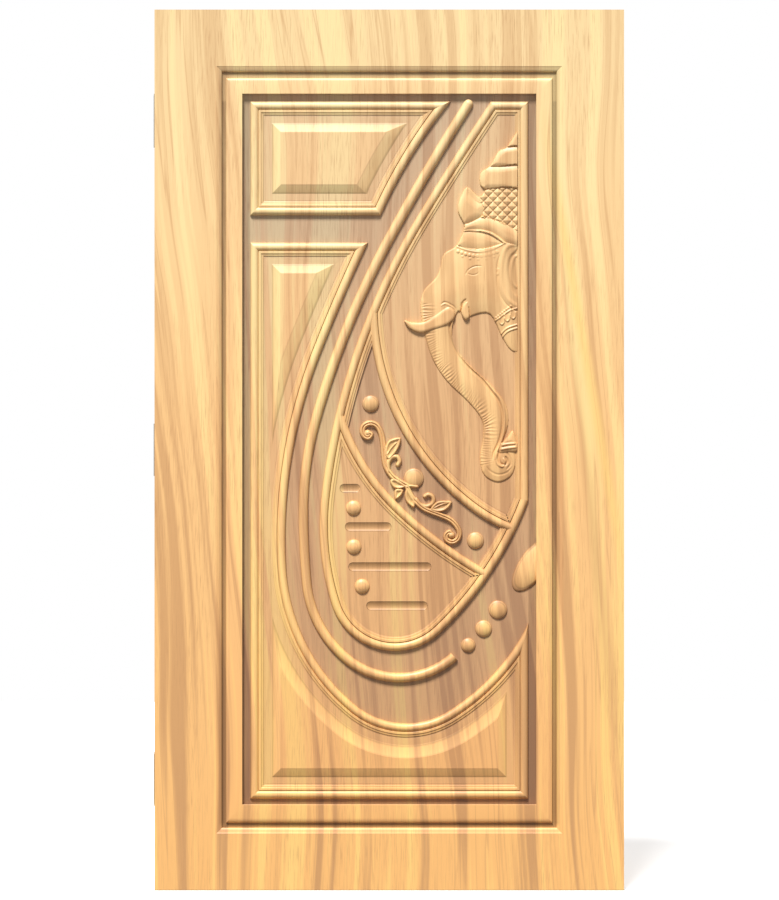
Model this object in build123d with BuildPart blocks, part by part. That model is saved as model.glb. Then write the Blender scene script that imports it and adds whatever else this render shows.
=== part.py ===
from build123d import *
from dataclasses import dataclass
from math import asin, atan2, cos, degrees, radians, sin, sqrt
import os

# Carved wooden door leaf: a frame of stiles and rails round one field board, which carries
# two raised panels, a long rod, an egg-shaped frame with two cross mouldings, a figure in
# low relief, a scroll and small bosses. Three butt hinges hang the leaf.
# Millimetres. x = 0 is the leaf's middle, z = 0 its bottom edge, y = 0 its mid-thickness.
# The carved face looks along -y, and the hinge edge is on the -x side.

# Leaf
LEAF_WIDTH = 1120.0
LEAF_HEIGHT = 2100.0
LEAF_THICKNESS = 40.0

# Frame of stiles and rails
STILE_FACE = 148.0
RAIL_FACE = 135.0
FRAME_BEVEL = 13.0
TENON_LENGTH = 60.0
TENON_THICKNESS = 14.0
TENON_INSET = 25.0
TENON_END_GAP = 1.0
BACK_CHAMFER = 8.0

# Levels, each a depth below the leaf's front face
GROOVE_DEPTH = 9.0
BAND_DEPTH = 1.5
FLOOR_DEPTH = 14.0
RECESS_DEPTH = 9.5
FIELD_DEPTH = 2.0

# Field board, held in a groove of the frame
BOARD_THICKNESS = 16.0
BOARD_TONGUE = 12.0

# Border strips round the carved field
SIDE_GROOVE = 9.4
TOP_GROOVE = 15.0
BOTTOM_GROOVE = 12.0
SIDE_BAND = 38.9
TOP_BAND = 37.6
BOTTOM_BAND = 43.4
BAND_ARRIS = 2.5

# Gap between the border strips and the mouldings
SIDE_GAP = 18.2
TOP_GAP = 17.4
BOTTOM_GAP = 12.7

# Section of the mouldings, from the outer edge inwards
BEAD_WIDTH = 20.0
BEAD_CROWN_DEPTH = 3.5
LEAST_SPRING = 0.5
QUIRK_DEPTH = 9.0
QUIRK_WIDTH = 1.0
FILLET_WIDTH = 5.5
FILLET_DEPTH = 6.5
STEP_WIDTH = 5.5
STEP_DEPTH = 8.0
LEDGE_WIDTH = 4.0

# Raised panels
PANEL_MARGIN = 16.0
STRAIGHT_BEVEL = 22.0
CURVED_BEVEL = 31.0

# Carved curves are drawn for this size of field and scaled with the real one
DRAWN_WIDTH = 665.0
DRAWN_HEIGHT = 1665.9

# Rod
ROD_WIDTH = 24.0
ROD_CROWN_DEPTH = 2.5

# Bosses, crowns above the surface that they stand on
BOSS_HEIGHT = 9.0
BOSS_EDGE = 5.0
ALMOND_LENGTH = 150.0
ALMOND_WIDTH = 66.0
ALMOND_HEIGHT = 10.5
ALMOND_TILT = 55.0
ALMOND_MIDDLE = (676.0, 559.0)
SLOT_WIDTH = 21.0
SLOT_DEPTH = 3.0

# Slots on the drawn field: middle across, middle up, length
SLOTS = (
    (238.8, 741.9, 49.4),
    (282.1, 650.1, 111.0),
    (333.9, 554.5, 198.0),
    (350.9, 461.4, 146.7),
)

# Round bosses on the drawn field: middle across, middle up, diameter, depth of the surface
# that they stand on, and whether they keep to the field's right side
BOSSES = (
    (288.0, 943.7, 40.6, FLOOR_DEPTH, False),
    (391.1, 765.5, 48.4, FLOOR_DEPTH, False),
    (538.1, 617.2, 40.6, FLOOR_DEPTH, False),
    (246.9, 695.2, 35.8, RECESS_DEPTH, False),
    (247.9, 602.2, 35.8, RECESS_DEPTH, False),
    (267.5, 508.0, 35.8, RECESS_DEPTH, False),
    (592.0, 451.9, 44.9, FLOOR_DEPTH, True),
    (557.6, 406.6, 40.6, FLOOR_DEPTH, True),
    (520.9, 367.0, 35.1, FLOOR_DEPTH, True),
)

# Figure in low relief and scroll, by their heights over the surface that they stand on
FIGURE_HEIGHT = 6.0
TUSK_HEIGHT = 9.0
SCROLL_HEIGHT = 6.0
STEM_WIDTH = 9.0
STEM_BEND = 12.0

# Outlines on the drawn field, kept to its right side and its top
FIGURE_OUTLINE = (
    (639, 1594), (613, 1556), (594, 1547), (575, 1513), (551, 1494), (549, 1468), (561, 1454),
    (547, 1437), (518, 1461), (499, 1425), (497, 1401), (511, 1373), (508, 1349), (492, 1320),
    (463, 1301), (454, 1268), (444, 1244), (415, 1213), (407, 1172), (415, 1120), (435, 1053),
    (470, 998), (520, 950), (554, 905), (556, 862), (549, 814), (559, 774), (592, 757),
    (623, 772), (634, 805), (628, 836), (599, 841), (616, 893), (611, 941), (582, 981),
    (520, 1039), (489, 1082), (482, 1125), (497, 1165), (513, 1144), (535, 1156), (573, 1158),
    (602, 1103), (621, 1074), (639, 1067),
)
# Raised forms of the figure: headdress, flame, cap, ear and cheek, each with its height
FIGURE_LAYERS = (
    (8.0, ((638, 1602), (628, 1585), (611, 1556), (638, 1554))),
    (9.0, ((611, 1551), (594, 1544), (582, 1530), (575, 1516), (638, 1513), (638, 1551))),
    (
        8.0,
        (
            (573, 1508), (561, 1504), (551, 1489), (549, 1475),
            (551, 1461), (561, 1454), (638, 1456), (638, 1508),
        ),
    ),
    (
        8.5,
        (
            (518, 1458), (504, 1430), (497, 1411), (499, 1394),
            (511, 1375), (544, 1392), (544, 1425), (537, 1437), (525, 1451),
        ),
    ),
    (
        8.0,
        (
            (513, 1351), (537, 1353), (566, 1349), (590, 1334), (606, 1320),
            (590, 1315), (566, 1308), (537, 1307), (513, 1311), (494, 1318),
        ),
    ),
    (
        9.0,
        (
            (638, 1313), (621, 1308), (611, 1294),
            (609, 1280), (604, 1227), (616, 1191), (638, 1177),
        ),
    ),
    (
        8.5,
        (
            (513, 1196), (501, 1179), (504, 1156), (513, 1144), (525, 1156),
            (549, 1159), (585, 1170), (597, 1201), (587, 1239), (544, 1246), (516, 1227),
        ),
    ),
)
TUSK_OUTLINE = (
    (368, 1141), (387, 1138), (415, 1146), (444, 1165), (458, 1179), (475, 1175), (492, 1170),
    (482, 1148), (454, 1127), (415, 1116), (384, 1122),
)

# Scroll on the drawn field: the line of its stem, and the outlines of its leaves
SCROLL_STEM = (
    (277, 874), (270, 896), (296, 905), (320, 872), (320, 805), (346, 760), (377, 745),
    (399, 700), (446, 681), (489, 667), (501, 633), (475, 619), (470, 638),
)
SCROLL_LEAVES = (
    ((318, 806), (325, 843), (339, 860), (358, 860), (358, 838), (344, 822)),
    ((412, 694), (444, 707), (463, 712), (480, 710), (475, 690), (456, 679)),
    ((337, 762), (353, 741), (375, 743), (362, 754)),
    ((370, 745), (372, 718), (398, 704), (388, 728)),
)

# Hinges
HINGE_COUNT = 3
HINGE_HEIGHT = 125.0
HINGE_MARGIN = 200.0
PLATE_THICKNESS = 3.0
PLATE_GAP = 0.3
PLATE_PROUD = 2.0
PLATE_STOP = 8.0
GAIN_CLEARANCE = 0.5
KNUCKLES = 5
KNUCKLE_RADIUS = 6.5
KNUCKLE_SIDE_GAP = 0.2
KNUCKLE_BACK_GAP = 0.5
PIN_RADIUS = 3.0
PIN_CLEARANCE = 0.05
PIN_HEAD_RADIUS = 4.5
PIN_HEAD_ARRIS = 1.8
PIN_HEAD_HEIGHT = 3.0
SCREW_HOLE_RADIUS = 2.5
PILOT_RADIUS = 2.1
SCREW_CLEARANCE = 0.05
SCREW_HEAD_RADIUS = 4.4
COUNTERSINK_ANGLE = 90.0
SCREW_LENGTH = 30.0
SCREW_SPACING_Y = 14.0
SCREW_SPACING_Z = 90.0

# Worked out from the sizes above
FRONT = Plane.XZ
HALF_WIDTH = LEAF_WIDTH / 2
HALF_THICKNESS = LEAF_THICKNESS / 2
STILE_WIDTH = STILE_FACE + FRAME_BEVEL
RAIL_WIDTH = RAIL_FACE + FRAME_BEVEL
OPENING_HALF = HALF_WIDTH - STILE_WIDTH
OPENING_FOOT = RAIL_WIDTH
OPENING_HEAD = LEAF_HEIGHT - RAIL_WIDTH
FLOOR = HALF_THICKNESS - FLOOR_DEPTH
BOARD_BACK = FLOOR - BOARD_THICKNESS
BAND_LEFT = -OPENING_HALF + SIDE_GROOVE
BAND_FOOT = OPENING_FOOT + BOTTOM_GROOVE
BAND_HEAD = OPENING_HEAD - TOP_GROOVE
INNER_LEFT = BAND_LEFT + SIDE_BAND
INNER_FOOT = BAND_FOOT + BOTTOM_BAND
INNER_HEAD = BAND_HEAD - TOP_BAND
LEFT = INNER_LEFT + SIDE_GAP
RIGHT = -LEFT
FOOT = INNER_FOOT + BOTTOM_GAP
HEAD = INNER_HEAD - TOP_GAP
SCALE = min((RIGHT - LEFT) / DRAWN_WIDTH, (HEAD - FOOT) / DRAWN_HEIGHT)
STRETCH_X = RIGHT - LEFT - SCALE * DRAWN_WIDTH
STRETCH_Z = HEAD - FOOT - SCALE * DRAWN_HEIGHT
FILLET_START = BEAD_WIDTH + QUIRK_WIDTH
FILLET_END = FILLET_START + FILLET_WIDTH
STEP_END = FILLET_END + STEP_WIDTH
MOULDING_WIDTH = STEP_END + LEDGE_WIDTH
FIELD_INSET = MOULDING_WIDTH + PANEL_MARGIN
LEAD = 4 * MOULDING_WIDTH
CUTTER_REACH = 5 * MOULDING_WIDTH
BEND_LIMIT = 0.5
FAR = LEAF_WIDTH + LEAF_HEIGHT


def level(depth):
    """Height over mid-thickness of a surface that lies this deep below the front face."""
    return HALF_THICKNESS - depth


def spot(across, up, right=False, top=False):
    """Place a drawn point, which moves with the field's right side or top where it is told to."""
    x = LEFT + SCALE * across + (STRETCH_X if right else 0.0)
    z = FOOT + SCALE * up + (STRETCH_Z if top else 0.0)
    return (x, z)


@dataclass
class Run:
    """A moulding's outer edge or a rod's middle line: tangent legs from a start and a heading.

    A leg is (radius, turn in degrees, positive to the left), or (length, 0) where it is straight.
    """

    start: tuple
    heading: float
    legs: tuple

    def stations(self):
        """Start point and heading of every leg, and of the run's end."""
        x, z = self.start
        heading = self.heading
        found = [(x, z, heading)]
        for size, turn in self.legs:
            if turn == 0:
                x += size * cos(radians(heading))
                z += size * sin(radians(heading))
            else:
                reach = size if turn > 0 else -size
                x += reach * (sin(radians(heading + turn)) - sin(radians(heading)))
                z -= reach * (cos(radians(heading + turn)) - cos(radians(heading)))
            heading += turn
            found.append((x, z, heading))
        return found

    def shifted(self, left):
        """The parallel run, this far to the left of travel."""
        x, z = self.start
        x -= left * sin(radians(self.heading))
        z += left * cos(radians(self.heading))
        legs = []
        for size, turn in self.legs:
            side = (turn > 0) - (turn < 0)
            legs.append((size - side * left, turn))
        return Run((x, z), self.heading, tuple(legs))

    def ending_at(self, x, radius):
        """The run with one more arc to the left, as far as this distance across."""
        at_x, _, heading = self.stations()[-1]
        reached = degrees(asin(sin(radians(heading)) + (x - at_x) / radius))
        return Run(self.start, self.heading, self.legs + ((radius, reached - heading),))

    def draw(self, lead=0.0):
        """Draw the run in the open line, with a straight lead before and after it."""
        if lead:
            start = self.stations()[0]
            Line(beyond(start, -lead), start[:2])
        for (x, z, heading), (size, turn) in zip(self.stations(), self.legs):
            if turn == 0:
                Line((x, z), beyond((x, z, heading), size))
            else:
                along = (cos(radians(heading)), sin(radians(heading)))
                JernArc((x, z), along, size, turn)
        if lead:
            end = self.stations()[-1]
            Line(end[:2], beyond(end, lead))


def beyond(station, distance):
    """The point this far ahead of a station."""
    x, z, heading = station
    return (x + distance * cos(radians(heading)), z + distance * sin(radians(heading)))


def scaled(legs):
    """Legs at the size of the real field."""
    return tuple((SCALE * size, turn) for size, turn in legs)


def swept_legs(upper, left_side, right_side):
    """Legs of a curve that passes its leftmost and lowest points, where it takes up any stretch."""
    legs = scaled(upper)
    if STRETCH_Z > 0.01:
        legs += ((STRETCH_Z, 0),)
    legs += scaled(left_side)
    if STRETCH_X > 0.01:
        legs += ((STRETCH_X, 0),)
    return legs + scaled(right_side)


def crossing(first, second):
    """Where the straight lines through two stations meet."""
    (x1, z1, a1), (x2, z2, a2) = first, second
    c1, s1 = cos(radians(a1)), sin(radians(a1))
    c2, s2 = cos(radians(a2)), sin(radians(a2))
    ahead = ((x2 - x1) * s2 - (z2 - z1) * c2) / (c1 * s2 - s1 * c2)
    return (x1 + ahead * c1, z1 + ahead * s1)


def outline_prism(outline, low, high):
    """Straight prism of an outline, between two heights over mid-thickness."""
    with BuildPart() as prism:
        with BuildSketch(FRONT.offset(low)):
            add(outline)
        extrude(amount=high - low)
    return prism.part


def meeting(arriving, leaving):
    """Where the last leg of one run meets the first leg of the next, of which one may be an arc."""
    end, start = arriving.stations()[-1], leaving.stations()[0]
    curved, straight = (end, start), start
    radius, turn = arriving.legs[-1]
    if turn == 0:
        curved, straight = (start, end), end
        radius, turn = leaving.legs[0]
    if turn == 0:
        return crossing(end, start)
    x, z, heading = curved[0]
    reach = radius if turn > 0 else -radius
    centre_x = x - reach * sin(radians(heading))
    centre_z = z + reach * cos(radians(heading))
    line_x, line_z, line_heading = straight
    along = (centre_x - line_x) * cos(radians(line_heading))
    along += (centre_z - line_z) * sin(radians(line_heading))
    foot_x, foot_z = beyond(straight, along)
    half = sqrt(radius**2 - (foot_x - centre_x) ** 2 - (foot_z - centre_z) ** 2)
    return beyond(straight, min(along - half, along + half, key=abs))


def mitre_cutter(arriving, leaving, side, forward):
    """Block on one side of the mitre between two runs, its face the line midway between them."""
    outer, halfway, inner = (
        Vector(*meeting(arriving.shifted(side * inset), leaving.shifted(side * inset)))
        for inset in (0.0, MOULDING_WIDTH / 2, MOULDING_WIDTH)
    )
    end, start = arriving.stations()[-1], leaving.stations()[0]
    onward = Vector(
        cos(radians(end[2])) + cos(radians(start[2])),
        sin(radians(end[2])) + sin(radians(start[2])),
    ).normalized()
    depth = onward * (CUTTER_REACH if forward else -CUTTER_REACH)
    out_point = outer + (outer - halfway).normalized() * CUTTER_REACH
    in_point = inner + (inner - halfway).normalized() * MOULDING_WIDTH
    with BuildSketch() as outline:
        with BuildLine():
            Line(out_point, outer)
            if bent(outer, halfway, inner):
                ThreePointArc(outer, halfway, inner)
            else:
                Line(outer, inner)
            Polyline(inner, in_point, in_point + depth, out_point + depth, out_point)
        make_face()
    return outline_prism(outline.sketch, -HALF_THICKNESS, HALF_THICKNESS)


def bent(first, second, third):
    """Whether three points leave the straight line."""
    return abs((second - first).cross(third - second).Z) > BEND_LIMIT


def moulding_section():
    """Bead, quirk, fillet and step, over a flat back on the board."""
    floor = FLOOR
    quirk = level(QUIRK_DEPTH)
    spring = max(floor + LEAST_SPRING, level(BEAD_CROWN_DEPTH) - BEAD_WIDTH / 2)
    with BuildSketch() as section:
        with BuildLine():
            Line((0, floor), (0, spring))
            ThreePointArc(
                (0, spring),
                (BEAD_WIDTH / 2, level(BEAD_CROWN_DEPTH)),
                (BEAD_WIDTH, quirk),
            )
            Polyline(
                (BEAD_WIDTH, quirk),
                (FILLET_START, quirk),
                (FILLET_START, level(FILLET_DEPTH)),
                (FILLET_END, level(FILLET_DEPTH)),
                (FILLET_END, level(STEP_DEPTH)),
                (STEP_END, level(STEP_DEPTH)),
                (STEP_END, level(RECESS_DEPTH)),
                (MOULDING_WIDTH, level(RECESS_DEPTH)),
                (MOULDING_WIDTH, floor),
                (0, floor),
            )
        make_face()
    return section.sketch


MOULDING = moulding_section()


def rod_section():
    """Half-round rod on the board, centred on its path."""
    crown = level(ROD_CROWN_DEPTH)
    half = ROD_WIDTH / 2
    with BuildSketch() as section:
        with BuildLine():
            Line((-half, FLOOR), (half, FLOOR))
            ThreePointArc((half, FLOOR), (0, crown), (-half, FLOOR))
        make_face()
    return section.sketch


def bevel_section(width):
    """What a bevel of this width takes off a raised panel."""
    low = level(RECESS_DEPTH)
    high = level(FIELD_DEPTH)
    with BuildSketch() as section:
        with BuildLine():
            Polyline(
                (-STRAIGHT_BEVEL, low),
                (0, low),
                (width, high),
                (width, HALF_THICKNESS),
                (-STRAIGHT_BEVEL, HALF_THICKNESS),
                (-STRAIGHT_BEVEL, low),
            )
        make_face()
    return section.sketch


def section_plane(station, side):
    """Plane across a run, its x towards the inner side and its y towards the front."""
    x, z, heading = station
    inward = (-side * sin(radians(heading)), 0, side * cos(radians(heading)))
    travel = (side * cos(radians(heading)), 0, side * sin(radians(heading)))
    return Plane(origin=(x, 0, z), x_dir=inward, z_dir=travel)


def lead_station(run):
    """Station at the beginning of the run's lead."""
    first = run.stations()[0]
    return (*beyond(first, -LEAD), first[2])


def moulding_strip(name, run, side, cutters):
    """One moulding along a run, cut back by the blocks at its mitres."""
    with BuildPart() as strip:
        with BuildLine(FRONT) as path:
            run.draw(LEAD)
        with BuildSketch(section_plane(lead_station(run), side)):
            add(MOULDING)
        sweep(path=path.line)
        for cutter in cutters:
            add(cutter, mode=Mode.SUBTRACT)
    save(strip.part, name)
    return strip.part


def closed_mouldings(prefix, names, runs, side):
    """A ring of mouldings, mitred where one run's line meets the next."""
    strips = []
    for index, (name, run) in enumerate(zip(names, runs)):
        before = runs[index - 1]
        after = runs[(index + 1) % len(runs)]
        cutters = (
            mitre_cutter(before, run, side, forward=False),
            mitre_cutter(run, after, side, forward=True),
        )
        strips.append(moulding_strip(f"{prefix}_{name}", run, side, cutters))
    return strips


def region(run, side, inset, box):
    """Face on one side of a run, moved in by the inset, within a box moved in by as much."""
    moved = run.shifted(side * inset)
    start = beyond(moved.stations()[0], -LEAD)
    end = beyond(moved.stations()[-1], LEAD)
    low_x, low_z, high_x, high_z = box
    low_corners = ((FAR, -FAR), (-FAR, -FAR), (-FAR, FAR)) if side < 0 else ((FAR, FAR),)
    with BuildSketch() as face:
        with BuildLine():
            moved.draw(LEAD)
            Polyline(end, (FAR, end[1]), *low_corners, (start[0], FAR), start)
        make_face()
        width = high_x - low_x - 2 * inset
        height = high_z - low_z - 2 * inset
        with Locations(((low_x + high_x) / 2, (low_z + high_z) / 2)):
            Rectangle(width, height, mode=Mode.INTERSECT)
    return face.sketch


def save(part, name):
    """Label a finished piece and write it."""
    part.label = name
    export_step(part, f"parts/{name}.step")


os.makedirs("parts", exist_ok=True)

# Upper panel, clockwise from its top left corner
upper_curve = Run(spot(478.8, DRAWN_HEIGHT, top=True), -128.96, scaled(((1225.0, 15.0),)))
upper_end_x, UPPER_FOOT, _ = upper_curve.stations()[-1]
upper_runs = [
    Run((LEFT, HEAD), 0.0, ((upper_curve.start[0] - LEFT, 0),)),
    upper_curve,
    Run((upper_end_x, UPPER_FOOT), 180.0, ((upper_end_x - LEFT, 0),)),
    Run((LEFT, UPPER_FOOT), 90.0, ((HEAD - UPPER_FOOT, 0),)),
]

# Lower panel, clockwise from its top left corner
lower_curve = Run(
    spot(281.8, 1329.0, top=True),
    -115.02,
    swept_legs(
        ((4594.0, 3.6), (1207.0, 21.42)),
        ((1207.0, 3.58), (455.0, 47.3), (189.0, 39.12)),
        ((189.0, 31.58),),
    ),
).ending_at(RIGHT, SCALE * 515.0)
lower_start_x, LOWER_HEAD = lower_curve.start
_, tip_z, _ = lower_curve.stations()[-1]
lower_runs = [
    Run((LEFT, LOWER_HEAD), 0.0, ((lower_start_x - LEFT, 0),)),
    lower_curve,
    Run((RIGHT, tip_z), -90.0, ((tip_z - FOOT, 0),)),
    Run((RIGHT, FOOT), 180.0, ((RIGHT - LEFT, 0),)),
    Run((LEFT, FOOT), 90.0, ((LOWER_HEAD - FOOT, 0),)),
]

# Egg-shaped frame, counter-clockwise from its top left corner
egg_curve = Run(
    spot(574.2, DRAWN_HEIGHT, top=True),
    -123.9,
    swept_legs(
        ((7180.0, 2.58), (1660.0, 24.7), (612.5, 6.62)),
        ((612.5, 17.98), (158.5, 72.02)),
        ((158.5, 43.48),),
    ),
).ending_at(RIGHT, SCALE * 849.5)
_, egg_tip_z, _ = egg_curve.stations()[-1]
egg_runs = [
    egg_curve,
    Run((RIGHT, egg_tip_z), 90.0, ((HEAD - egg_tip_z, 0),)),
    Run((RIGHT, HEAD), 180.0, ((RIGHT - egg_curve.start[0], 0),)),
]

# Cross mouldings inside the egg, their outer edges towards the band between them
upper_cross = Run(spot(284.4, 1148.4), -87.49, scaled(((606.0, 50.5), (397.0, 14.8))))
lower_cross = Run(spot(217.1, 942.3), -74.88, scaled(((529.0, 31.3), (1030.0, 13.8))))

# Long rod, by its middle line
rod_run = Run(
    spot(521.5, 1660.0, top=True),
    -122.53,
    swept_legs(
        ((5286.0, 4.0), (2119.0, 12.6), (807.0, 15.93)),
        ((1927.0, 5.17), (266.0, 46.9), (195.0, 37.93)),
        ((195.0, 42.27),),
    ),
)

UPPER_BOX = (LEFT, UPPER_FOOT, RIGHT, HEAD)
LOWER_BOX = (LEFT, FOOT, RIGHT, LOWER_HEAD)
EGG_BOX = (LEFT, FOOT, RIGHT, HEAD)


# Frame, worked as one ring and parted at its shoulders
OPENING_MIDDLE = (OPENING_FOOT + OPENING_HEAD) / 2
OPENING_HEIGHT = OPENING_HEAD - OPENING_FOOT

with BuildPart() as frame_ring:
    with BuildSketch(FRONT.offset(-HALF_THICKNESS)):
        with Locations((0, LEAF_HEIGHT / 2)):
            Rectangle(LEAF_WIDTH, LEAF_HEIGHT)
        with Locations((0, OPENING_MIDDLE)):
            Rectangle(2 * OPENING_HALF, OPENING_HEIGHT, mode=Mode.SUBTRACT)
    extrude(amount=LEAF_THICKNESS)
    front_face = frame_ring.faces().sort_by(Axis.Y)[0]
    front_edges = front_face.inner_wires().edges()
    chamfer(front_edges, length=FRAME_BEVEL, length2=GROOVE_DEPTH, reference=front_face)
    back_face = frame_ring.faces().sort_by(Axis.Y)[-1]
    chamfer(back_face.inner_wires().edges(), length=BACK_CHAMFER)
    with BuildSketch(FRONT.offset(BOARD_BACK)):
        with Locations((0, OPENING_MIDDLE)):
            Rectangle(2 * (OPENING_HALF + BOARD_TONGUE), OPENING_HEIGHT + 2 * BOARD_TONGUE)
    extrude(amount=BOARD_THICKNESS, mode=Mode.SUBTRACT)


def rail_outline(low):
    """Outline of a rail between the stiles, its bevel mitred into theirs."""
    outer = 0 if low else LEAF_HEIGHT
    face = RAIL_FACE if low else LEAF_HEIGHT - RAIL_FACE
    inner = OPENING_FOOT if low else OPENING_HEAD
    shoulder = OPENING_HALF + FRAME_BEVEL
    with BuildSketch() as outline:
        with BuildLine():
            Polyline(
                (-shoulder, outer),
                (-shoulder, face),
                (-OPENING_HALF, inner),
                (OPENING_HALF, inner),
                (shoulder, face),
                (shoulder, outer),
                (-shoulder, outer),
            )
        make_face()
    return outline.sketch


def tenons(low, longer):
    """Tenons at both ends of a rail, or the mortises for them where they are longer."""
    middle = RAIL_FACE / 2 if low else LEAF_HEIGHT - RAIL_FACE / 2
    length = TENON_LENGTH + longer
    back = (FLOOR + BOARD_BACK - TENON_THICKNESS) / 2
    with BuildPart() as pair:
        with BuildSketch(FRONT.offset(back)):
            for side in (-1, 1):
                with Locations((side * (OPENING_HALF + FRAME_BEVEL + length / 2), middle)):
                    Rectangle(length, RAIL_FACE - 2 * TENON_INSET)
        extrude(amount=TENON_THICKNESS)
    return pair.part


def rail(name, low):
    """One rail with its tenons."""
    with BuildPart() as piece:
        add(outline_prism(rail_outline(low), -HALF_THICKNESS, HALF_THICKNESS))
        add(frame_ring.part, mode=Mode.INTERSECT)
        add(tenons(low, 0.0))
    save(piece.part, name)


def stile(side):
    """One stile, full height, with the mortises of both rails."""
    with BuildPart() as piece:
        with BuildSketch(FRONT.offset(-HALF_THICKNESS)):
            with Locations((side * HALF_WIDTH / 2, LEAF_HEIGHT / 2)):
                Rectangle(HALF_WIDTH, LEAF_HEIGHT)
        extrude(amount=LEAF_THICKNESS)
        add(frame_ring.part, mode=Mode.INTERSECT)
        for low in (True, False):
            rail_space = outline_prism(rail_outline(low), -HALF_THICKNESS, HALF_THICKNESS)
            add(rail_space, mode=Mode.SUBTRACT)
            add(tenons(low, TENON_END_GAP), mode=Mode.SUBTRACT)
    return piece.part


rail("bottom_rail", True)
rail("top_rail", False)
save(stile(1), "meeting_stile")

with BuildPart() as field_board:
    with BuildSketch(FRONT.offset(BOARD_BACK)):
        with Locations((0, OPENING_MIDDLE)):
            Rectangle(2 * (OPENING_HALF + BOARD_TONGUE), OPENING_HEIGHT + 2 * BOARD_TONGUE)
    extrude(amount=BOARD_THICKNESS)
save(field_board.part, "field_board")


# Hinges
GAIN_DEPTH = 2 * PLATE_THICKNESS + PLATE_GAP - PLATE_PROUD
PLATE_FRONT = PLATE_STOP - HALF_THICKNESS
PLATE_MIDDLE = (PLATE_FRONT + HALF_THICKNESS) / 2
LEAF_PLATE_X = -HALF_WIDTH + GAIN_DEPTH - PLATE_THICKNESS
JAMB_PLATE_X = -HALF_WIDTH - PLATE_PROUD
JAMB_PLATE_INNER_X = JAMB_PLATE_X + PLATE_THICKNESS
AXIS_X = LEAF_PLATE_X - PLATE_GAP / 2
AXIS_Y = HALF_THICKNESS + KNUCKLE_RADIUS + KNUCKLE_BACK_GAP
BORE_RADIUS = PIN_RADIUS + PIN_CLEARANCE
KNUCKLE_PITCH = HINGE_HEIGHT / KNUCKLES
FIRST_HINGE = HINGE_MARGIN + HINGE_HEIGHT / 2
HINGE_PITCH = (LEAF_HEIGHT - 2 * FIRST_HINGE) / (HINGE_COUNT - 1)
HINGE_NAMES = ("bottom", "middle", "top")
HEAD_DEPTH = SCREW_HEAD_RADIUS - SCREW_HOLE_RADIUS
hinge_heights = [FIRST_HINGE + index * HINGE_PITCH for index in range(HINGE_COUNT)]


def screw_planes(x, middle, outward):
    """Planes of one plate's four screw heads, facing outward along x."""
    return [
        Plane(
            origin=(x, PLATE_MIDDLE + y, middle + z),
            x_dir=(0, 1, 0),
            z_dir=(outward, 0, 0),
        )
        for y in (-SCREW_SPACING_Y / 2, SCREW_SPACING_Y / 2)
        for z in (-SCREW_SPACING_Z / 2, SCREW_SPACING_Z / 2)
    ]


def hinge_plate(name, middle, plate_x, own_knuckles, heads):
    """One plate with its knuckles, countersunk where the planes of its screw heads lie."""
    foot = middle - HINGE_HEIGHT / 2
    with BuildPart() as piece:
        with BuildSketch(Plane.XY.offset(foot)):
            with Locations((plate_x + PLATE_THICKNESS / 2, PLATE_MIDDLE)):
                Rectangle(PLATE_THICKNESS, HALF_THICKNESS - PLATE_FRONT)
        extrude(amount=HINGE_HEIGHT)
        for knuckle in own_knuckles:
            low = foot + knuckle * KNUCKLE_PITCH + KNUCKLE_SIDE_GAP / 2
            with BuildSketch(Plane.XY.offset(low)):
                with Locations((AXIS_X, AXIS_Y)):
                    Circle(KNUCKLE_RADIUS)
                with Locations((plate_x + PLATE_THICKNESS / 2, (HALF_THICKNESS + AXIS_Y) / 2)):
                    Rectangle(PLATE_THICKNESS, AXIS_Y - HALF_THICKNESS)
                with Locations((AXIS_X, AXIS_Y)):
                    Circle(BORE_RADIUS, mode=Mode.SUBTRACT)
            extrude(amount=KNUCKLE_PITCH - KNUCKLE_SIDE_GAP)
        with Locations(*heads):
            CounterSinkHole(SCREW_HOLE_RADIUS, SCREW_HEAD_RADIUS, PLATE_THICKNESS, COUNTERSINK_ANGLE)
    save(piece.part, name)


for hinge, middle in zip(HINGE_NAMES, hinge_heights):
    leaf_heads = screw_planes(LEAF_PLATE_X, middle, -1)
    hinge_plate(f"{hinge}_hinge_leaf_plate", middle, LEAF_PLATE_X, (1, 3), leaf_heads)
    jamb_heads = screw_planes(JAMB_PLATE_INNER_X, middle, 1)
    hinge_plate(f"{hinge}_hinge_jamb_plate", middle, JAMB_PLATE_X, (0, 2, 4), jamb_heads)
    with BuildPart() as pin:
        with BuildSketch(Plane.XY.offset(middle - HINGE_HEIGHT / 2)):
            with Locations((AXIS_X, AXIS_Y)):
                Circle(PIN_RADIUS)
        extrude(amount=HINGE_HEIGHT)
        with BuildSketch(Plane.XY.offset(middle + (HINGE_HEIGHT - KNUCKLE_SIDE_GAP) / 2)):
            with Locations((AXIS_X, AXIS_Y)):
                Circle(PIN_HEAD_RADIUS)
        extrude(amount=PIN_HEAD_HEIGHT)
        fillet(pin.edges().group_by(Axis.Z)[-1], PIN_HEAD_ARRIS)
    save(pin.part, f"{hinge}_hinge_pin")

with BuildPart() as hinge_screws:
    for middle in hinge_heights:
        for head_plane in screw_planes(LEAF_PLATE_X, middle, -1):
            with BuildSketch(head_plane):
                Circle(SCREW_HEAD_RADIUS)
            with BuildSketch(head_plane.offset(-HEAD_DEPTH)):
                Circle(SCREW_HOLE_RADIUS)
            loft()
            with BuildSketch(head_plane.offset(-HEAD_DEPTH)):
                Circle(PILOT_RADIUS - SCREW_CLEARANCE)
            extrude(amount=HEAD_DEPTH - SCREW_LENGTH)
save(hinge_screws.part, "hinge_screws")

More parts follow.
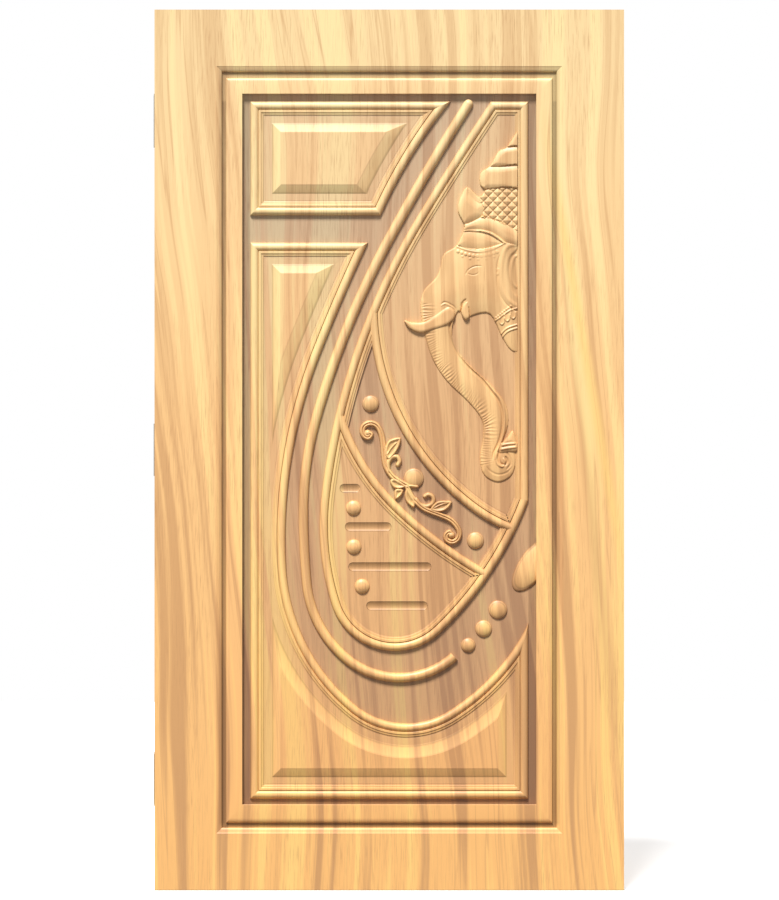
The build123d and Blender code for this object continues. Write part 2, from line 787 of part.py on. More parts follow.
with BuildPart() as hinge_stile:
    add(stile(-1))
    for middle in hinge_heights:
        with BuildSketch(Plane.XY.offset(middle - HINGE_HEIGHT / 2 - GAIN_CLEARANCE)):
            with Locations((-HALF_WIDTH, PLATE_FRONT - GAIN_CLEARANCE)):
                Rectangle(
                    GAIN_DEPTH,
                    LEAF_THICKNESS - PLATE_STOP + GAIN_CLEARANCE,
                    align=(Align.MIN, Align.MIN),
                )
        extrude(amount=HINGE_HEIGHT + 2 * GAIN_CLEARANCE, mode=Mode.SUBTRACT)
        with Locations(*screw_planes(-HALF_WIDTH + GAIN_DEPTH, middle, -1)):
            Hole(PILOT_RADIUS, SCREW_LENGTH)
save(hinge_stile.part, "hinge_stile")


# Border strips, worked as one ring and parted at the corners
BAND_MIDDLE = (BAND_FOOT + BAND_HEAD) / 2
INNER_MIDDLE = (INNER_FOOT + INNER_HEAD) / 2

with BuildPart() as border_ring:
    with BuildSketch(FRONT.offset(FLOOR)):
        with Locations((0, OPENING_MIDDLE)):
            Rectangle(2 * OPENING_HALF, OPENING_HEIGHT)
        with Locations((0, INNER_MIDDLE)):
            Rectangle(-2 * INNER_LEFT, INNER_HEAD - INNER_FOOT, mode=Mode.SUBTRACT)
    extrude(amount=level(GROOVE_DEPTH) - FLOOR)
    with BuildSketch(FRONT.offset(FLOOR)):
        with Locations((0, BAND_MIDDLE)):
            Rectangle(-2 * BAND_LEFT, BAND_HEAD - BAND_FOOT)
        with Locations((0, INNER_MIDDLE)):
            Rectangle(-2 * INNER_LEFT, INNER_HEAD - INNER_FOOT, mode=Mode.SUBTRACT)
    extrude(amount=level(BAND_DEPTH) - FLOOR)

border_corners = {
    "bottom_left": ((-OPENING_HALF, OPENING_FOOT), (INNER_LEFT, INNER_FOOT)),
    "top_left": ((-OPENING_HALF, OPENING_HEAD), (INNER_LEFT, INNER_HEAD)),
    "top_right": ((OPENING_HALF, OPENING_HEAD), (-INNER_LEFT, INNER_HEAD)),
    "bottom_right": ((OPENING_HALF, OPENING_FOOT), (-INNER_LEFT, INNER_FOOT)),
}
border_sides = {
    "border_left": ("bottom_left", "top_left"),
    "border_top": ("top_left", "top_right"),
    "border_right": ("top_right", "bottom_right"),
    "border_bottom": ("bottom_right", "bottom_left"),
}
for name, (first, second) in border_sides.items():
    with BuildPart() as border_strip:
        with BuildSketch(FRONT.offset(FLOOR)):
            with BuildLine():
                Polyline(
                    border_corners[first][0],
                    border_corners[first][1],
                    border_corners[second][1],
                    border_corners[second][0],
                    border_corners[first][0],
                )
            make_face()
        extrude(amount=LEAF_THICKNESS)
        add(border_ring.part, mode=Mode.INTERSECT)
        band_face = border_strip.faces().sort_by(Axis.Y)[0]
        fillet(band_face.edges().sort_by(SortBy.LENGTH)[-2:], BAND_ARRIS)
    save(border_strip.part, name)


# Mouldings round the panels and the egg
closed_mouldings("upper_moulding", ("top", "curve", "bottom", "left"), upper_runs, -1)
closed_mouldings("lower_moulding", ("top", "curve", "right", "bottom", "left"), lower_runs, -1)
egg_strips = closed_mouldings("egg_moulding", ("curve", "right", "top"), egg_runs, 1)


def cross_moulding(name, run, side):
    """A moulding across the egg, scribed over the steps of the egg's own moulding."""
    with BuildPart() as piece:
        with BuildLine(FRONT) as path:
            run.draw(LEAD)
        with BuildSketch(section_plane(lead_station(run), side)):
            add(MOULDING)
        sweep(path=path.line)
        egg_inside = region(egg_curve, 1, BEAD_WIDTH / 2, EGG_BOX)
        add(outline_prism(egg_inside, 0, HALF_THICKNESS), mode=Mode.INTERSECT)
        for strip in egg_strips[:2]:
            add(strip, mode=Mode.SUBTRACT)
    whole = piece.part.solids().sort_by(SortBy.VOLUME)[-1]
    save(whole, name)
    return whole


upper_cross_piece = cross_moulding("upper_cross_moulding", upper_cross, 1)
lower_cross_piece = cross_moulding("lower_cross_moulding", lower_cross, -1)


# Raised panels
def raised_panel(name, runs, side, box, curve_index):
    """Panel inside a ring of mouldings, its field bevelled towards every side."""
    whole = region(runs[curve_index], side, MOULDING_WIDTH, box)
    field = region(runs[curve_index], side, FIELD_INSET, box)
    with BuildPart() as piece:
        add(outline_prism(whole, FLOOR, level(RECESS_DEPTH)))
        add(outline_prism(field, FLOOR, level(FIELD_DEPTH)))
        for index, run in enumerate(runs):
            width = CURVED_BEVEL if index == curve_index else STRAIGHT_BEVEL
            edge = run.shifted(side * FIELD_INSET)
            with BuildLine(FRONT) as path:
                edge.draw(LEAD)
            with BuildSketch(section_plane(lead_station(edge), side)):
                add(bevel_section(width))
            sweep(path=path.line, mode=Mode.SUBTRACT)
    save(piece.part, name)


raised_panel("upper_raised_panel", upper_runs, -1, UPPER_BOX, 1)
raised_panel("lower_raised_panel", lower_runs, -1, LOWER_BOX, 1)

# Long rod, with a ball at its upper end
with BuildPart() as long_rod:
    with BuildLine(FRONT) as rod_path:
        rod_run.draw()
    with BuildSketch(section_plane(rod_run.stations()[0], 1)):
        add(rod_section())
    sweep(path=rod_path.line)
    rod_x, rod_z = rod_run.start
    with Locations((rod_x, -FLOOR, rod_z)):
        Sphere(level(ROD_CROWN_DEPTH) - FLOOR)
    split(bisect_by=FRONT.offset(FLOOR), keep=Keep.TOP)
save(long_rod.part, "long_rod")

# Grounds inside the egg
def egg_ground(run, side):
    """Ground inside the egg, on one side of a cross moulding."""
    with BuildPart() as ground:
        inside = region(egg_curve, 1, MOULDING_WIDTH, EGG_BOX)
        add(outline_prism(inside, FLOOR, level(RECESS_DEPTH)))
        beside = region(run, side, MOULDING_WIDTH, EGG_BOX)
        add(outline_prism(beside, FLOOR, level(RECESS_DEPTH)), mode=Mode.INTERSECT)
    return ground.part


save(egg_ground(upper_cross, 1), "figure_ground")

with BuildPart() as slot_ground:
    add(egg_ground(lower_cross, -1))
    with BuildSketch(FRONT.offset(level(RECESS_DEPTH))):
        for across, up, length in SLOTS:
            with Locations(spot(across, up)):
                SlotOverall(SCALE * length, SLOT_WIDTH)
    extrude(amount=-SLOT_DEPTH, mode=Mode.SUBTRACT)
save(slot_ground.part, "slot_ground")

def boss_outline(radius):
    """Half the section of a round boss: a rounded edge that runs into a flatter crown."""
    across = radius - BOSS_EDGE
    crown = (across**2 + BOSS_HEIGHT**2 - BOSS_EDGE**2) / (2 * (BOSS_HEIGHT - BOSS_EDGE))
    crown_turn = degrees(atan2(across, crown - BOSS_HEIGHT))
    with BuildSketch() as outline:
        with BuildLine():
            Line((0, 0), (radius, 0))
            edge = JernArc((radius, 0), (0, 1), BOSS_EDGE, 90 - crown_turn)
            JernArc(edge @ 1, edge % 1, crown, crown_turn)
            Line((0, BOSS_HEIGHT), (0, 0))
        make_face()
    return outline.sketch


# Bosses
bosses = []
for index, (across, up, diameter, depth, right) in enumerate(BOSSES, start=1):
    boss_x, boss_z = spot(across, up, right=right)
    seat = (boss_x, -level(depth), boss_z)
    with BuildPart() as boss:
        with BuildSketch(Plane(origin=seat, x_dir=(1, 0, 0), z_dir=(0, 0, -1))):
            add(boss_outline(SCALE * diameter / 2))
        revolve(axis=Axis(seat, (0, -1, 0)))
    bosses.append(boss.part)
    save(boss.part, f"round_boss_{index}")

# Almond-shaped boss, cut off by the border
with BuildPart() as almond_form:
    Sphere(1.0)
    scale(by=(ALMOND_LENGTH / 2, ALMOND_HEIGHT, ALMOND_WIDTH / 2))
almond_x, almond_z = spot(*ALMOND_MIDDLE, right=True)
with BuildPart() as almond_boss:
    add(Location((almond_x, -FLOOR, almond_z), (0, -ALMOND_TILT, 0)) * almond_form.part)
    split(bisect_by=FRONT.offset(FLOOR), keep=Keep.TOP)
    split(bisect_by=Plane(origin=(-INNER_LEFT, 0, 0), z_dir=(1, 0, 0)), keep=Keep.BOTTOM)
save(almond_boss.part, "almond_boss")


# Figure, cut off by the moulding at its right
with BuildPart() as figure_relief:
    forms = ((FIGURE_HEIGHT, FIGURE_OUTLINE), (TUSK_HEIGHT, TUSK_OUTLINE)) + FIGURE_LAYERS
    for height, outline in forms:
        with BuildSketch(FRONT.offset(level(RECESS_DEPTH))):
            with BuildLine():
                Polyline(*(spot(*point, right=True, top=True) for point in outline), close=True)
            make_face()
        extrude(amount=height)
    for strip in egg_strips[:2]:
        add(strip, mode=Mode.SUBTRACT)
save(figure_relief.part, "figure_relief")

# Scroll, cut round the boss that it springs from
with BuildPart() as scroll_ornament:
    with BuildSketch(FRONT.offset(FLOOR)):
        with BuildLine(mode=Mode.PRIVATE) as stem:
            FilletPolyline(*(spot(*point) for point in SCROLL_STEM), radius=SCALE * STEM_BEND)
        trace(stem.line, STEM_WIDTH)
        for outline in SCROLL_LEAVES:
            with BuildLine():
                Polyline(*(spot(*point) for point in outline), close=True)
            make_face()
    extrude(amount=SCROLL_HEIGHT)
    add(bosses[1], mode=Mode.SUBTRACT)
    add(lower_cross_piece, mode=Mode.SUBTRACT)
save(scroll_ornament.part, "scroll_ornament")
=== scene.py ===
"""Looks of the carved door leaf.

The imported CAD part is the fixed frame. The flat members keep their CAD meshes, and the mouldings,
the rod, the bosses and the carving are built again as fine surfaces on the same driving lines.
Lengths are in millimetres until a mesh is made, with height measured towards the carved front.
"""

import logging
import re
from dataclasses import dataclass, field
from enum import Enum
from math import pi, radians
from typing import Callable, Sequence

import bpy
import numpy as np
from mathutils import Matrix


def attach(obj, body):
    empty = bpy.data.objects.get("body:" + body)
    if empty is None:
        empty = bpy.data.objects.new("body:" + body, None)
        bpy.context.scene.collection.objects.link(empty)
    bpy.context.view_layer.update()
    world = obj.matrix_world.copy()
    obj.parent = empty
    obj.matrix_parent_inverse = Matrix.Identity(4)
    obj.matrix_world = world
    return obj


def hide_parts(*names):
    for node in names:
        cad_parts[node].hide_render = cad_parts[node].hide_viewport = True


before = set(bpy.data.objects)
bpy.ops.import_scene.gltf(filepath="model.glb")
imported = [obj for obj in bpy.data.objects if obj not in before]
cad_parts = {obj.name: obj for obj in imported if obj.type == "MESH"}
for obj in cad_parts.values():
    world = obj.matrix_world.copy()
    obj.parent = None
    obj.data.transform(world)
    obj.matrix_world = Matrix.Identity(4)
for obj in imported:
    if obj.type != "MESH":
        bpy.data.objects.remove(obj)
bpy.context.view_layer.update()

log = logging.getLogger("door")

MILLIMETRE = 0.001
LEAF = "leaf"

# Field, as in the CAD part
LEFT, RIGHT, FOOT, HEAD = -332.5, 332.5, 216.1, 1882.0
DRAWN_HEIGHT = 1665.9
INNER_RIGHT = 350.7

# Heights over mid-thickness
FLOOR = 6.0
RECESS = 10.5
GROOVE = 11.0
FILLET = 13.5
BEAD_CROWN = 16.5
BAND = 18.5
ROOT = 4.5

# Moulding
BEAD_WIDTH = 20.0
QUIRK_END = 20.8
MOULDING_END = 36.0
LEAD = 144.0
STEP = 4.0


def spot(across: float, up: float) -> tuple[float, float]:
    """Place a drawn point.

    Args:
        across: Distance from the field's left side.
        up: Distance from the field's lower side.

    Returns:
        The point's place across and up in the leaf.
    """
    return (LEFT + across, FOOT + up)


class Blend(Enum):
    """How a second colour joins the first."""

    COVER = "MIX"
    DARKEN = "MULTIPLY"


@dataclass(frozen=True)
class Path:
    """Closely spaced points of a line and the unit normals to its left."""

    points: np.ndarray
    normals: np.ndarray
    first: int
    last: int

    def moved(self, left: float) -> np.ndarray:
        """The parallel line.

        Args:
            left: Distance to the left of travel.

        Returns:
            Its points.
        """
        return self.points + left * self.normals


@dataclass(frozen=True)
class Run:
    """Tangent legs from a start and a heading, each (radius, turn) or (length, 0)."""

    start: tuple[float, float]
    heading: float
    legs: tuple[tuple[float, float], ...]

    def end(self) -> tuple[float, float, float]:
        """Where the run ends.

        Returns:
            Its last point and heading.
        """
        return tuple(self.rows()[-1])

    def ending_at(self, x: float, radius: float) -> "Run":
        """The run with one more arc to the left.

        Args:
            x: Distance across that the arc reaches.
            radius: The arc's radius.

        Returns:
            The longer run.
        """
        at_x, _, heading = self.end()
        reached = np.degrees(np.arcsin(np.sin(radians(heading)) + (x - at_x) / radius))
        return Run(self.start, self.heading, self.legs + ((radius, reached - heading),))

    @staticmethod
    def leg(at: np.ndarray, size: float, turn: float) -> np.ndarray:
        """Sample one leg: start plus a share of its length, or radius times its normal's change.

        Args:
            at: Its start, across and up, and its heading.
            size: Its length, or its radius.
            turn: Degrees that it turns to the left.

        Returns:
            Rows of place and heading, its end among them.
        """
        x, z, heading = at
        a = radians(heading)
        if not turn:
            share = np.linspace(0.0, size, 3)
            return np.stack([x + share * np.cos(a), z + share * np.sin(a), 0 * share + heading], 1)
        reach = size if turn > 0 else -size
        count = max(3, int(size * radians(abs(turn)) / STEP))
        turned = heading + turn * np.linspace(0.0, 1.0, count + 1)
        b = np.radians(turned)
        return np.stack([x + reach * (np.sin(b) - np.sin(a)), z - reach * (np.cos(b) - np.cos(a)), turned], 1)

    def rows(self) -> np.ndarray:
        """Rows of place and heading along the run.

        Returns:
            An array of rows by three: across, up and the heading in degrees.
        """
        parts = [np.array([[*self.start, self.heading]])]
        for size, turn in self.legs:
            parts.append(self.leg(parts[-1][-1], size, turn))
        return np.vstack([part[:-1] for part in parts] + [parts[-1][-1:]])

    def path(self, lead: float = LEAD) -> Path:
        """Sample the run.

        Args:
            lead: Length of the straight lead before and after it.

        Returns:
            The sampled line.
        """
        rows = self.rows()
        points, turned = rows[:, :2], np.radians(rows[:, 2])
        if lead:
            turned = np.concatenate([turned[:1], turned, turned[-1:]])
            ways = lead * np.stack([np.cos(turned), np.sin(turned)], 1)
            points = np.vstack([points[:1] - ways[:1], points, points[-1:] + ways[-1:]])
        normals = np.stack([-np.sin(turned), np.cos(turned)], 1)
        first = 1 if lead else 0
        return Path(points, normals, first, len(points) - 1 - first)


def straight(start: tuple[float, float], end: tuple[float, float]) -> Run:
    """The run from one point straight to another."""
    across, up = end[0] - start[0], end[1] - start[1]
    return Run(start, np.degrees(np.arctan2(up, across)), ((np.hypot(across, up), 0),))


def where_crossed(line: np.ndarray, other: np.ndarray, near: float) -> float:
    """Position along a line, as an index with a fraction, where another line crosses it.

    Two straight pieces cross where both shares, each a ratio of two cross products, are
    between nought and one.

    Args:
        line: Points of the line.
        other: Points of the other line.
        near: Position next to which the crossing is wanted.

    Returns:
        The crossing nearest to that position.
    """
    start, along = line[:-1, None], np.diff(line, axis=0)[:, None]
    begin, reach = other[None, :-1], np.diff(other, axis=0)[None]
    between = begin - start

    def turned(a: np.ndarray, b: np.ndarray) -> np.ndarray:
        """Cross products."""
        return a[..., 0] * b[..., 1] - a[..., 1] * b[..., 0]

    with np.errstate(all="ignore"):
        size = turned(along, reach)
        share = turned(between, reach) / size
        apart = turned(between, along) / size
    hit = (share >= 0) & (share <= 1) & (apart >= 0) & (apart <= 1)
    index, column = np.nonzero(hit)
    found = index + share[index, column]
    return float(found[np.argmin(abs(found - near))])


Cut = Callable[[np.ndarray, int, float], float]


@dataclass(frozen=True)
class Mitre:
    """End of a strip where its rows meet those of another run, or one line of it."""

    path: Path
    side: int
    reach: np.ndarray | float

    def __call__(self, row: np.ndarray, index: int, near: float) -> float:
        """Where a row ends.

        Args:
            row: Points of the row.
            index: The row's number.
            near: Position next to which it ends.

        Returns:
            The position along the row.
        """
        reach = self.reach if np.ndim(self.reach) == 0 else self.reach[index]
        return where_crossed(row, self.path.moved(self.side * reach), near)


def sampled(line: np.ndarray, positions: np.ndarray) -> np.ndarray:
    """Points at positions along a line, straight between its own points."""
    index = np.arange(len(line))
    return np.stack([np.interp(positions, index, line[:, k]) for k in (0, 1)], -1)


def swept(
    path: Path,
    side: int,
    section: np.ndarray,
    start: Cut | None = None,
    end: Cut | None = None,
    middle: tuple[float, float] | None = None,
) -> np.ndarray:
    """Grid of a section swept along a path: point = line + distance times normal, at its height.

    Args:
        path: The run's sampled line.
        side: 1 where distances go to the left of travel, -1 to the right.
        section: Distances and heights, all round the section.
        start: Where rows start, if not at the path's own start.
        end: Where rows end.
        middle: Positions near which the cuts are, if not at the path's ends.

    Returns:
        An array of rows by stations by three.
    """
    near = middle or (path.first, path.last)
    rows = []
    for index, (distance, height) in enumerate(section):
        line = path.moved(side * distance)
        low = start(line, index, near[0]) if start else near[0]
        high = end(line, index, near[1]) if end else near[1]
        rows.append((line, low, high, height))
    count = max(3, int(max(high - low for _, low, high, _ in rows)) + 2)
    share = np.linspace(0.0, 1.0, count)
    grid = np.zeros((len(rows), count, 3))
    for index, (line, low, high, height) in enumerate(rows):
        grid[index, :, [0, 2]] = sampled(line, low + (high - low) * share).T
        grid[index, :, 1] = -height
    return grid


@dataclass
class Shape:
    """Points and faces of one closed piece, built up from parts."""

    points: list[np.ndarray] = field(default_factory=list)
    faces: list[list[int]] = field(default_factory=list)

    def _added(self, points: np.ndarray, faces: list[list[int]]) -> None:
        """Take in one closed part, turned so that its faces look outwards.

        Args:
            points: Its points.
            faces: Its faces, as numbers of its own points.
        """
        flat = points.reshape(-1, 3)
        corners = [(f[0], f[k], f[k + 1]) for f in faces for k in range(1, len(f) - 1)]
        tri = flat[np.array(corners)]
        volume = np.einsum("ij,ij->", tri[:, 0], np.cross(tri[:, 1], tri[:, 2]))
        base = sum(len(p) for p in self.points)
        turned = faces if volume > 0 else [f[::-1] for f in faces]
        self.points.append(flat)
        self.faces.extend([[base + v for v in f] for f in turned])

    def tube(self, grid: np.ndarray) -> "Shape":
        """Add a grid whose rows close on themselves, with a cap at each end.

        Args:
            grid: Rows by stations by three.

        Returns:
            This shape.
        """
        rows, count = grid.shape[:2]
        index = np.arange(rows * count).reshape(rows, count)
        after = np.roll(index, -1, axis=0)
        quads = np.stack([index[:, :-1], index[:, 1:], after[:, 1:], after[:, :-1]], -1)
        caps = [index[:, 0].tolist(), index[::-1, -1].tolist()]
        self._added(grid, quads.reshape(-1, 4).tolist() + caps)
        return self

    def lid(self, grid: np.ndarray) -> "Shape":
        """Add a grid of rings, from the foot to the crown, closed by its first and last ring.

        Args:
            grid: Rings by points by three.

        Returns:
            This shape.
        """
        rings, count = grid.shape[:2]
        index = np.arange(rings * count).reshape(rings, count)
        after = np.roll(index, -1, axis=1)
        quads = np.stack([index[:-1], after[:-1], after[1:], index[1:]], -1)
        caps = [index[0, ::-1].tolist(), index[-1].tolist()]
        self._added(grid, quads.reshape(-1, 4).tolist() + caps)
        return self

    def relief(self, x: np.ndarray, z: np.ndarray, height: np.ndarray, kept: np.ndarray) -> "Shape":
        """Add a height field over a flat back, where all four corners of a cell are kept.

        Args:
            x: Places across.
            z: Places up.
            height: Height at every place, up by across.
            kept: Which places are kept.

        Returns:
            This shape.
        """
        rows, columns = height.shape
        wide, tall = np.meshgrid(x, z)
        front = np.stack([wide, -height, tall], -1).reshape(-1, 3)
        back = np.stack([wide, np.full_like(wide, -ROOT), tall], -1).reshape(-1, 3)
        index = np.arange(rows * columns).reshape(rows, columns)
        low, high = slice(None, -1), slice(1, None)
        corners = ((low, low), (low, high), (high, high), (high, low))
        cells = np.all([kept[corner] for corner in corners], axis=0)
        quads = np.stack([index[corner] for corner in corners], -1)[cells]
        ring = np.concatenate([quads[:, [k, (k + 1) % 4]] for k in range(4)])
        size = rows * columns
        code = ring[:, 0] * size + ring[:, 1]
        twin = ring[:, 1] * size + ring[:, 0]
        edge = ring[~np.isin(code, twin)]
        walls = np.stack([edge[:, 1], edge[:, 0], edge[:, 0] + size, edge[:, 1] + size], -1)
        faces = np.concatenate([quads, quads[:, ::-1] + size, walls])
        used, packed = np.unique(faces, return_inverse=True)
        points = np.concatenate([front, back])[used]
        self._added(points, packed.reshape(faces.shape).tolist())
        return self

    def made(
        self, name: str, material: bpy.types.Material, *nodes: str, angle: float = 35.0
    ) -> bpy.types.Object:
        """Make the piece and let it stand for its CAD nodes.

        Args:
            name: Name of the piece.
            material: Its material.
            nodes: CAD nodes that it stands for.
            angle: Edges sharper than this many degrees stay sharp.

        Returns:
            The new object.
        """
        mesh = bpy.data.meshes.new(name)
        points = np.concatenate(self.points) * MILLIMETRE
        mesh.from_pydata(points.tolist(), [], self.faces)
        mesh.shade_smooth()
        mesh.set_sharp_from_angle(angle=radians(angle))
        mesh.materials.append(material)
        piece = bpy.data.objects.new(name, mesh)
        bpy.context.scene.collection.objects.link(piece)
        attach(piece, LEAF)
        if nodes:
            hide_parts(*nodes)
        log.info("%s has %d faces", name, len(self.faces))
        return piece


def arc_through(first: tuple, top: tuple, last: tuple, count: int) -> np.ndarray:
    """Points of the arc through three points, its centre where two perpendicular bisectors meet.

    Args:
        first: Where it starts.
        top: A point that it passes.
        last: Where it ends.
        count: Number of points.

    Returns:
        An array of points.
    """
    a, b, c = (np.array(p, float) for p in (first, top, last))
    sides = 2 * np.array([b - a, c - b])
    centre = np.linalg.solve(sides, [b @ b - a @ a, c @ c - b @ b])
    low, high = (np.arctan2(*(p - centre)[::-1]) for p in (a, c))
    turn = np.linspace(low, high, count)
    radius = np.linalg.norm(a - centre)
    return centre + radius * np.stack([np.cos(turn), np.sin(turn)], 1)


BEAD = arc_through((0.0, 6.5), (BEAD_WIDTH / 2, BEAD_CROWN), (BEAD_WIDTH, GROOVE), 17)
STEPS = np.array(
    [
        (QUIRK_END, GROOVE), (21.0, 13.1), (21.5, FILLET), (26.1, FILLET), (26.5, 13.1), (26.7, 12.2),
        (27.0, 12.0), (31.6, 12.0), (32.0, 11.6), (32.2, 10.7), (32.5, RECESS), (MOULDING_END, RECESS),
        (MOULDING_END, ROOT),
    ]
)  # fmt: skip
# Edge of the frame, from the face down to the groove
FRAME_EDGE = np.array(
    [
        (0.0, 10.0), (13.0, 19.0), (13.0, 20.0), (12.6, 19.75), (10.0, 19.0), (6.0, 17.8), (3.2, 16.8),
        (1.8, 16.0), (0.9, 15.1), (0.3, 14.0), (0.0, 13.0),
    ]
)  # fmt: skip
MOULDING = np.vstack([[(0.0, ROOT)], BEAD, STEPS])
BEAD_ALONE = np.vstack([[(0.0, ROOT)], BEAD, [(QUIRK_END, GROOVE), (QUIRK_END, ROOT)]])
STEPS_ALONE = np.vstack([[(BEAD_WIDTH, ROOT), (BEAD_WIDTH, GROOVE)], STEPS])
# Rounded outer side of the border
BAND_SIDE = ((0.0, GROOVE), (0.2, 14.4), (0.8, 15.6), (2.0, 16.7), (4.0, 17.6), (7.0, 18.2), (11.0, BAND))


def band_section(groove: float, width: float) -> np.ndarray:
    """Section of a border strip: its groove, its rounded outer side and its sharp inner edge.

    Args:
        groove: Width of the groove outside the band.
        width: Width of the band.

    Returns:
        Distances from the band's outer edge, and heights.
    """
    inner = ((width - 0.5, BAND), (width, BAND - 0.4), (width, ROOT))
    return np.array([(-groove, ROOT), (-groove, GROOVE), *BAND_SIDE, *inner])


@dataclass(frozen=True)
class Lines:
    """The driving lines of the carving, as in the CAD part."""

    upper_curve: Run = Run(spot(478.8, DRAWN_HEIGHT), -128.96, ((1225.0, 15.0),))
    lower_curve: Run = Run(
        spot(281.8, 1329.0), -115.02, ((4594.0, 3.6), (1207.0, 25.0), (455.0, 47.3), (189.0, 70.7))
    ).ending_at(RIGHT, 515.0)
    egg_curve: Run = Run(
        spot(574.2, DRAWN_HEIGHT), -123.9, ((7180.0, 2.58), (1660.0, 24.7), (612.5, 24.6), (158.5, 115.5))
    ).ending_at(RIGHT, 849.5)
    upper_cross: Run = Run(spot(284.4, 1148.4), -87.49, ((606.0, 50.5), (397.0, 14.8)))
    lower_cross: Run = Run(spot(217.1, 942.3), -74.88, ((529.0, 31.3), (1030.0, 13.8)))
    rod: Run = Run(
        spot(521.5, 1660.0),
        -122.53,
        ((5286.0, 4.0), (2119.0, 12.6), (807.0, 15.93), (1927.0, 5.17), (266.0, 46.9), (195.0, 80.2)),
    )


@dataclass
class Mouldings:
    """All mouldings of the carved field."""

    lines: Lines
    material: bpy.types.Material

    def build(self) -> None:
        """Build the frame's edge, the border, and the mouldings of the panels and the egg."""
        self.square("frame_edge", (399.0, 148.0, 1952.0), [FRAME_EDGE * (-1, 1)] * 4, stands=False)
        widths = ((15.0, 37.6), (9.4, 38.9), (12.0, 43.4), (9.4, 38.9))
        self.square("border", (389.6, 160.0, 1937.0), [band_section(*width) for width in widths])
        upper, lower, egg = self.lines.upper_curve, self.lines.lower_curve, self.lines.egg_curve
        upper_x, upper_z, _ = upper.end()
        _, tip, _ = lower.end()
        _, egg_tip, _ = egg.end()
        head = lower.start[1]
        upper_ring = {
            "top": straight((LEFT, HEAD), upper.start),
            "curve": upper,
            "bottom": straight((upper_x, upper_z), (LEFT, upper_z)),
            "left": straight((LEFT, upper_z), (LEFT, HEAD)),
        }
        lower_ring = {
            "top": straight((LEFT, head), lower.start),
            "curve": lower,
            "right": straight((RIGHT, tip), (RIGHT, FOOT)),
            "bottom": straight((RIGHT, FOOT), (LEFT, FOOT)),
            "left": straight((LEFT, FOOT), (LEFT, head)),
        }
        for prefix, runs in (("upper_moulding", upper_ring), ("lower_moulding", lower_ring)):
            self.ring(prefix, runs, [MOULDING] * len(runs))
        right = straight((RIGHT, egg_tip), (RIGHT, HEAD))
        self.egg(egg, right, straight((RIGHT, HEAD), (egg.start[0], HEAD)))

    def square(
        self, prefix: str, box: tuple[float, float, float], sections: list, stands: bool = True
    ) -> None:
        """Build a ring of four straight strips, clockwise from the top one.

        Args:
            prefix: Start of the pieces' names.
            box: Half its width, and its lower and upper side.
            sections: One section for each strip.
            stands: Whether each strip stands for a CAD node.
        """
        half, low, high = box
        corners = [(-half, high), (half, high), (half, low), (-half, low), (-half, high)]
        sides = map(straight, corners, corners[1:])
        self.ring(prefix, dict(zip(("top", "right", "bottom", "left"), sides)), sections, stands)

    def ring(self, prefix: str, runs: dict[str, Run], sections: list, stands: bool = True) -> None:
        """Build a clockwise ring of strips, mitred where one run's rows meet the next one's.

        Args:
            prefix: Start of the pieces' names.
            runs: The runs by name, in order.
            sections: One section for each strip, all with as many points.
            stands: Whether each strip stands for a CAD node.
        """
        paths = [run.path() for run in runs.values()]
        for index, name in enumerate(runs):
            before, after = index - 1, (index + 1) % len(paths)
            grid = swept(
                paths[index],
                -1,
                sections[index],
                Mitre(paths[before], -1, sections[before][:, 0]),
                Mitre(paths[after], -1, sections[after][:, 0]),
            )
            node = f"{prefix}_{name}"
            Shape().tube(grid).made(node + "_fine", self.material, *([node] if stands else []))

    def egg(self, *runs: Run) -> None:
        """Build the egg's ring, whose steps are parted by the two mouldings across it.

        Args:
            runs: Its curve, its right side and its top.
        """
        curve, right, top = (run.path() for run in runs)
        upper, lower = self.lines.upper_cross.path(), self.lines.lower_cross.path()
        bead, steps, whole = BEAD_ALONE[:, 0], STEPS_ALONE[:, 0], MOULDING[:, 0]
        row = curve.moved(BEAD_WIDTH)
        high = where_crossed(row, upper.moved(BEAD_WIDTH), 200)
        low = where_crossed(row, lower.moved(-BEAD_WIDTH), 200)
        middle = BEAD_WIDTH / 2
        shape = Shape()
        shape.tube(swept(curve, 1, BEAD_ALONE, Mitre(top, 1, bead), Mitre(right, 1, bead)))
        for start, end, near in (
            (Mitre(top, 1, steps), Mitre(upper, 1, steps), (curve.first, high)),
            (Mitre(upper, 1, middle), Mitre(lower, -1, middle), (high, low)),
            (Mitre(lower, -1, steps), Mitre(right, 1, steps), (low, curve.last)),
        ):
            shape.tube(swept(curve, 1, STEPS_ALONE, start, end, near))
        shape.made("egg_moulding_curve_fine", self.material, "egg_moulding_curve")
        for name, path, before, after in (("right", right, curve, top), ("top", top, right, curve)):
            grid = swept(path, 1, MOULDING, Mitre(before, 1, whole), Mitre(after, 1, whole))
            Shape().tube(grid).made(f"egg_moulding_{name}_fine", self.material, f"egg_moulding_{name}")
        for name, path, side in (("upper", upper, 1), ("lower", lower, -1)):
            far = self.far_side(path, curve, right)
            shape = Shape()
            shape.tube(swept(path, side, BEAD_ALONE, Mitre(curve, 1, middle), Mitre(far, 1, middle)))
            shape.tube(swept(path, side, STEPS_ALONE, Mitre(curve, 1, steps), Mitre(far, 1, steps)))
            node = f"{name}_cross_moulding"
            shape.made(node + "_fine", self.material, node)

    @staticmethod
    def far_side(path: Path, curve: Path, right: Path) -> Path:
        """The egg's side at which a moulding across it ends.

        Args:
            path: Its line.
            curve: The egg's curve.
            right: The egg's right side.

        Returns:
            The nearer of the two.
        """
        end = path.points[path.last]
        away = np.min(np.linalg.norm(curve.points - end, axis=1))
        return curve if away < abs(right.points[0, 0] - end[0]) else right


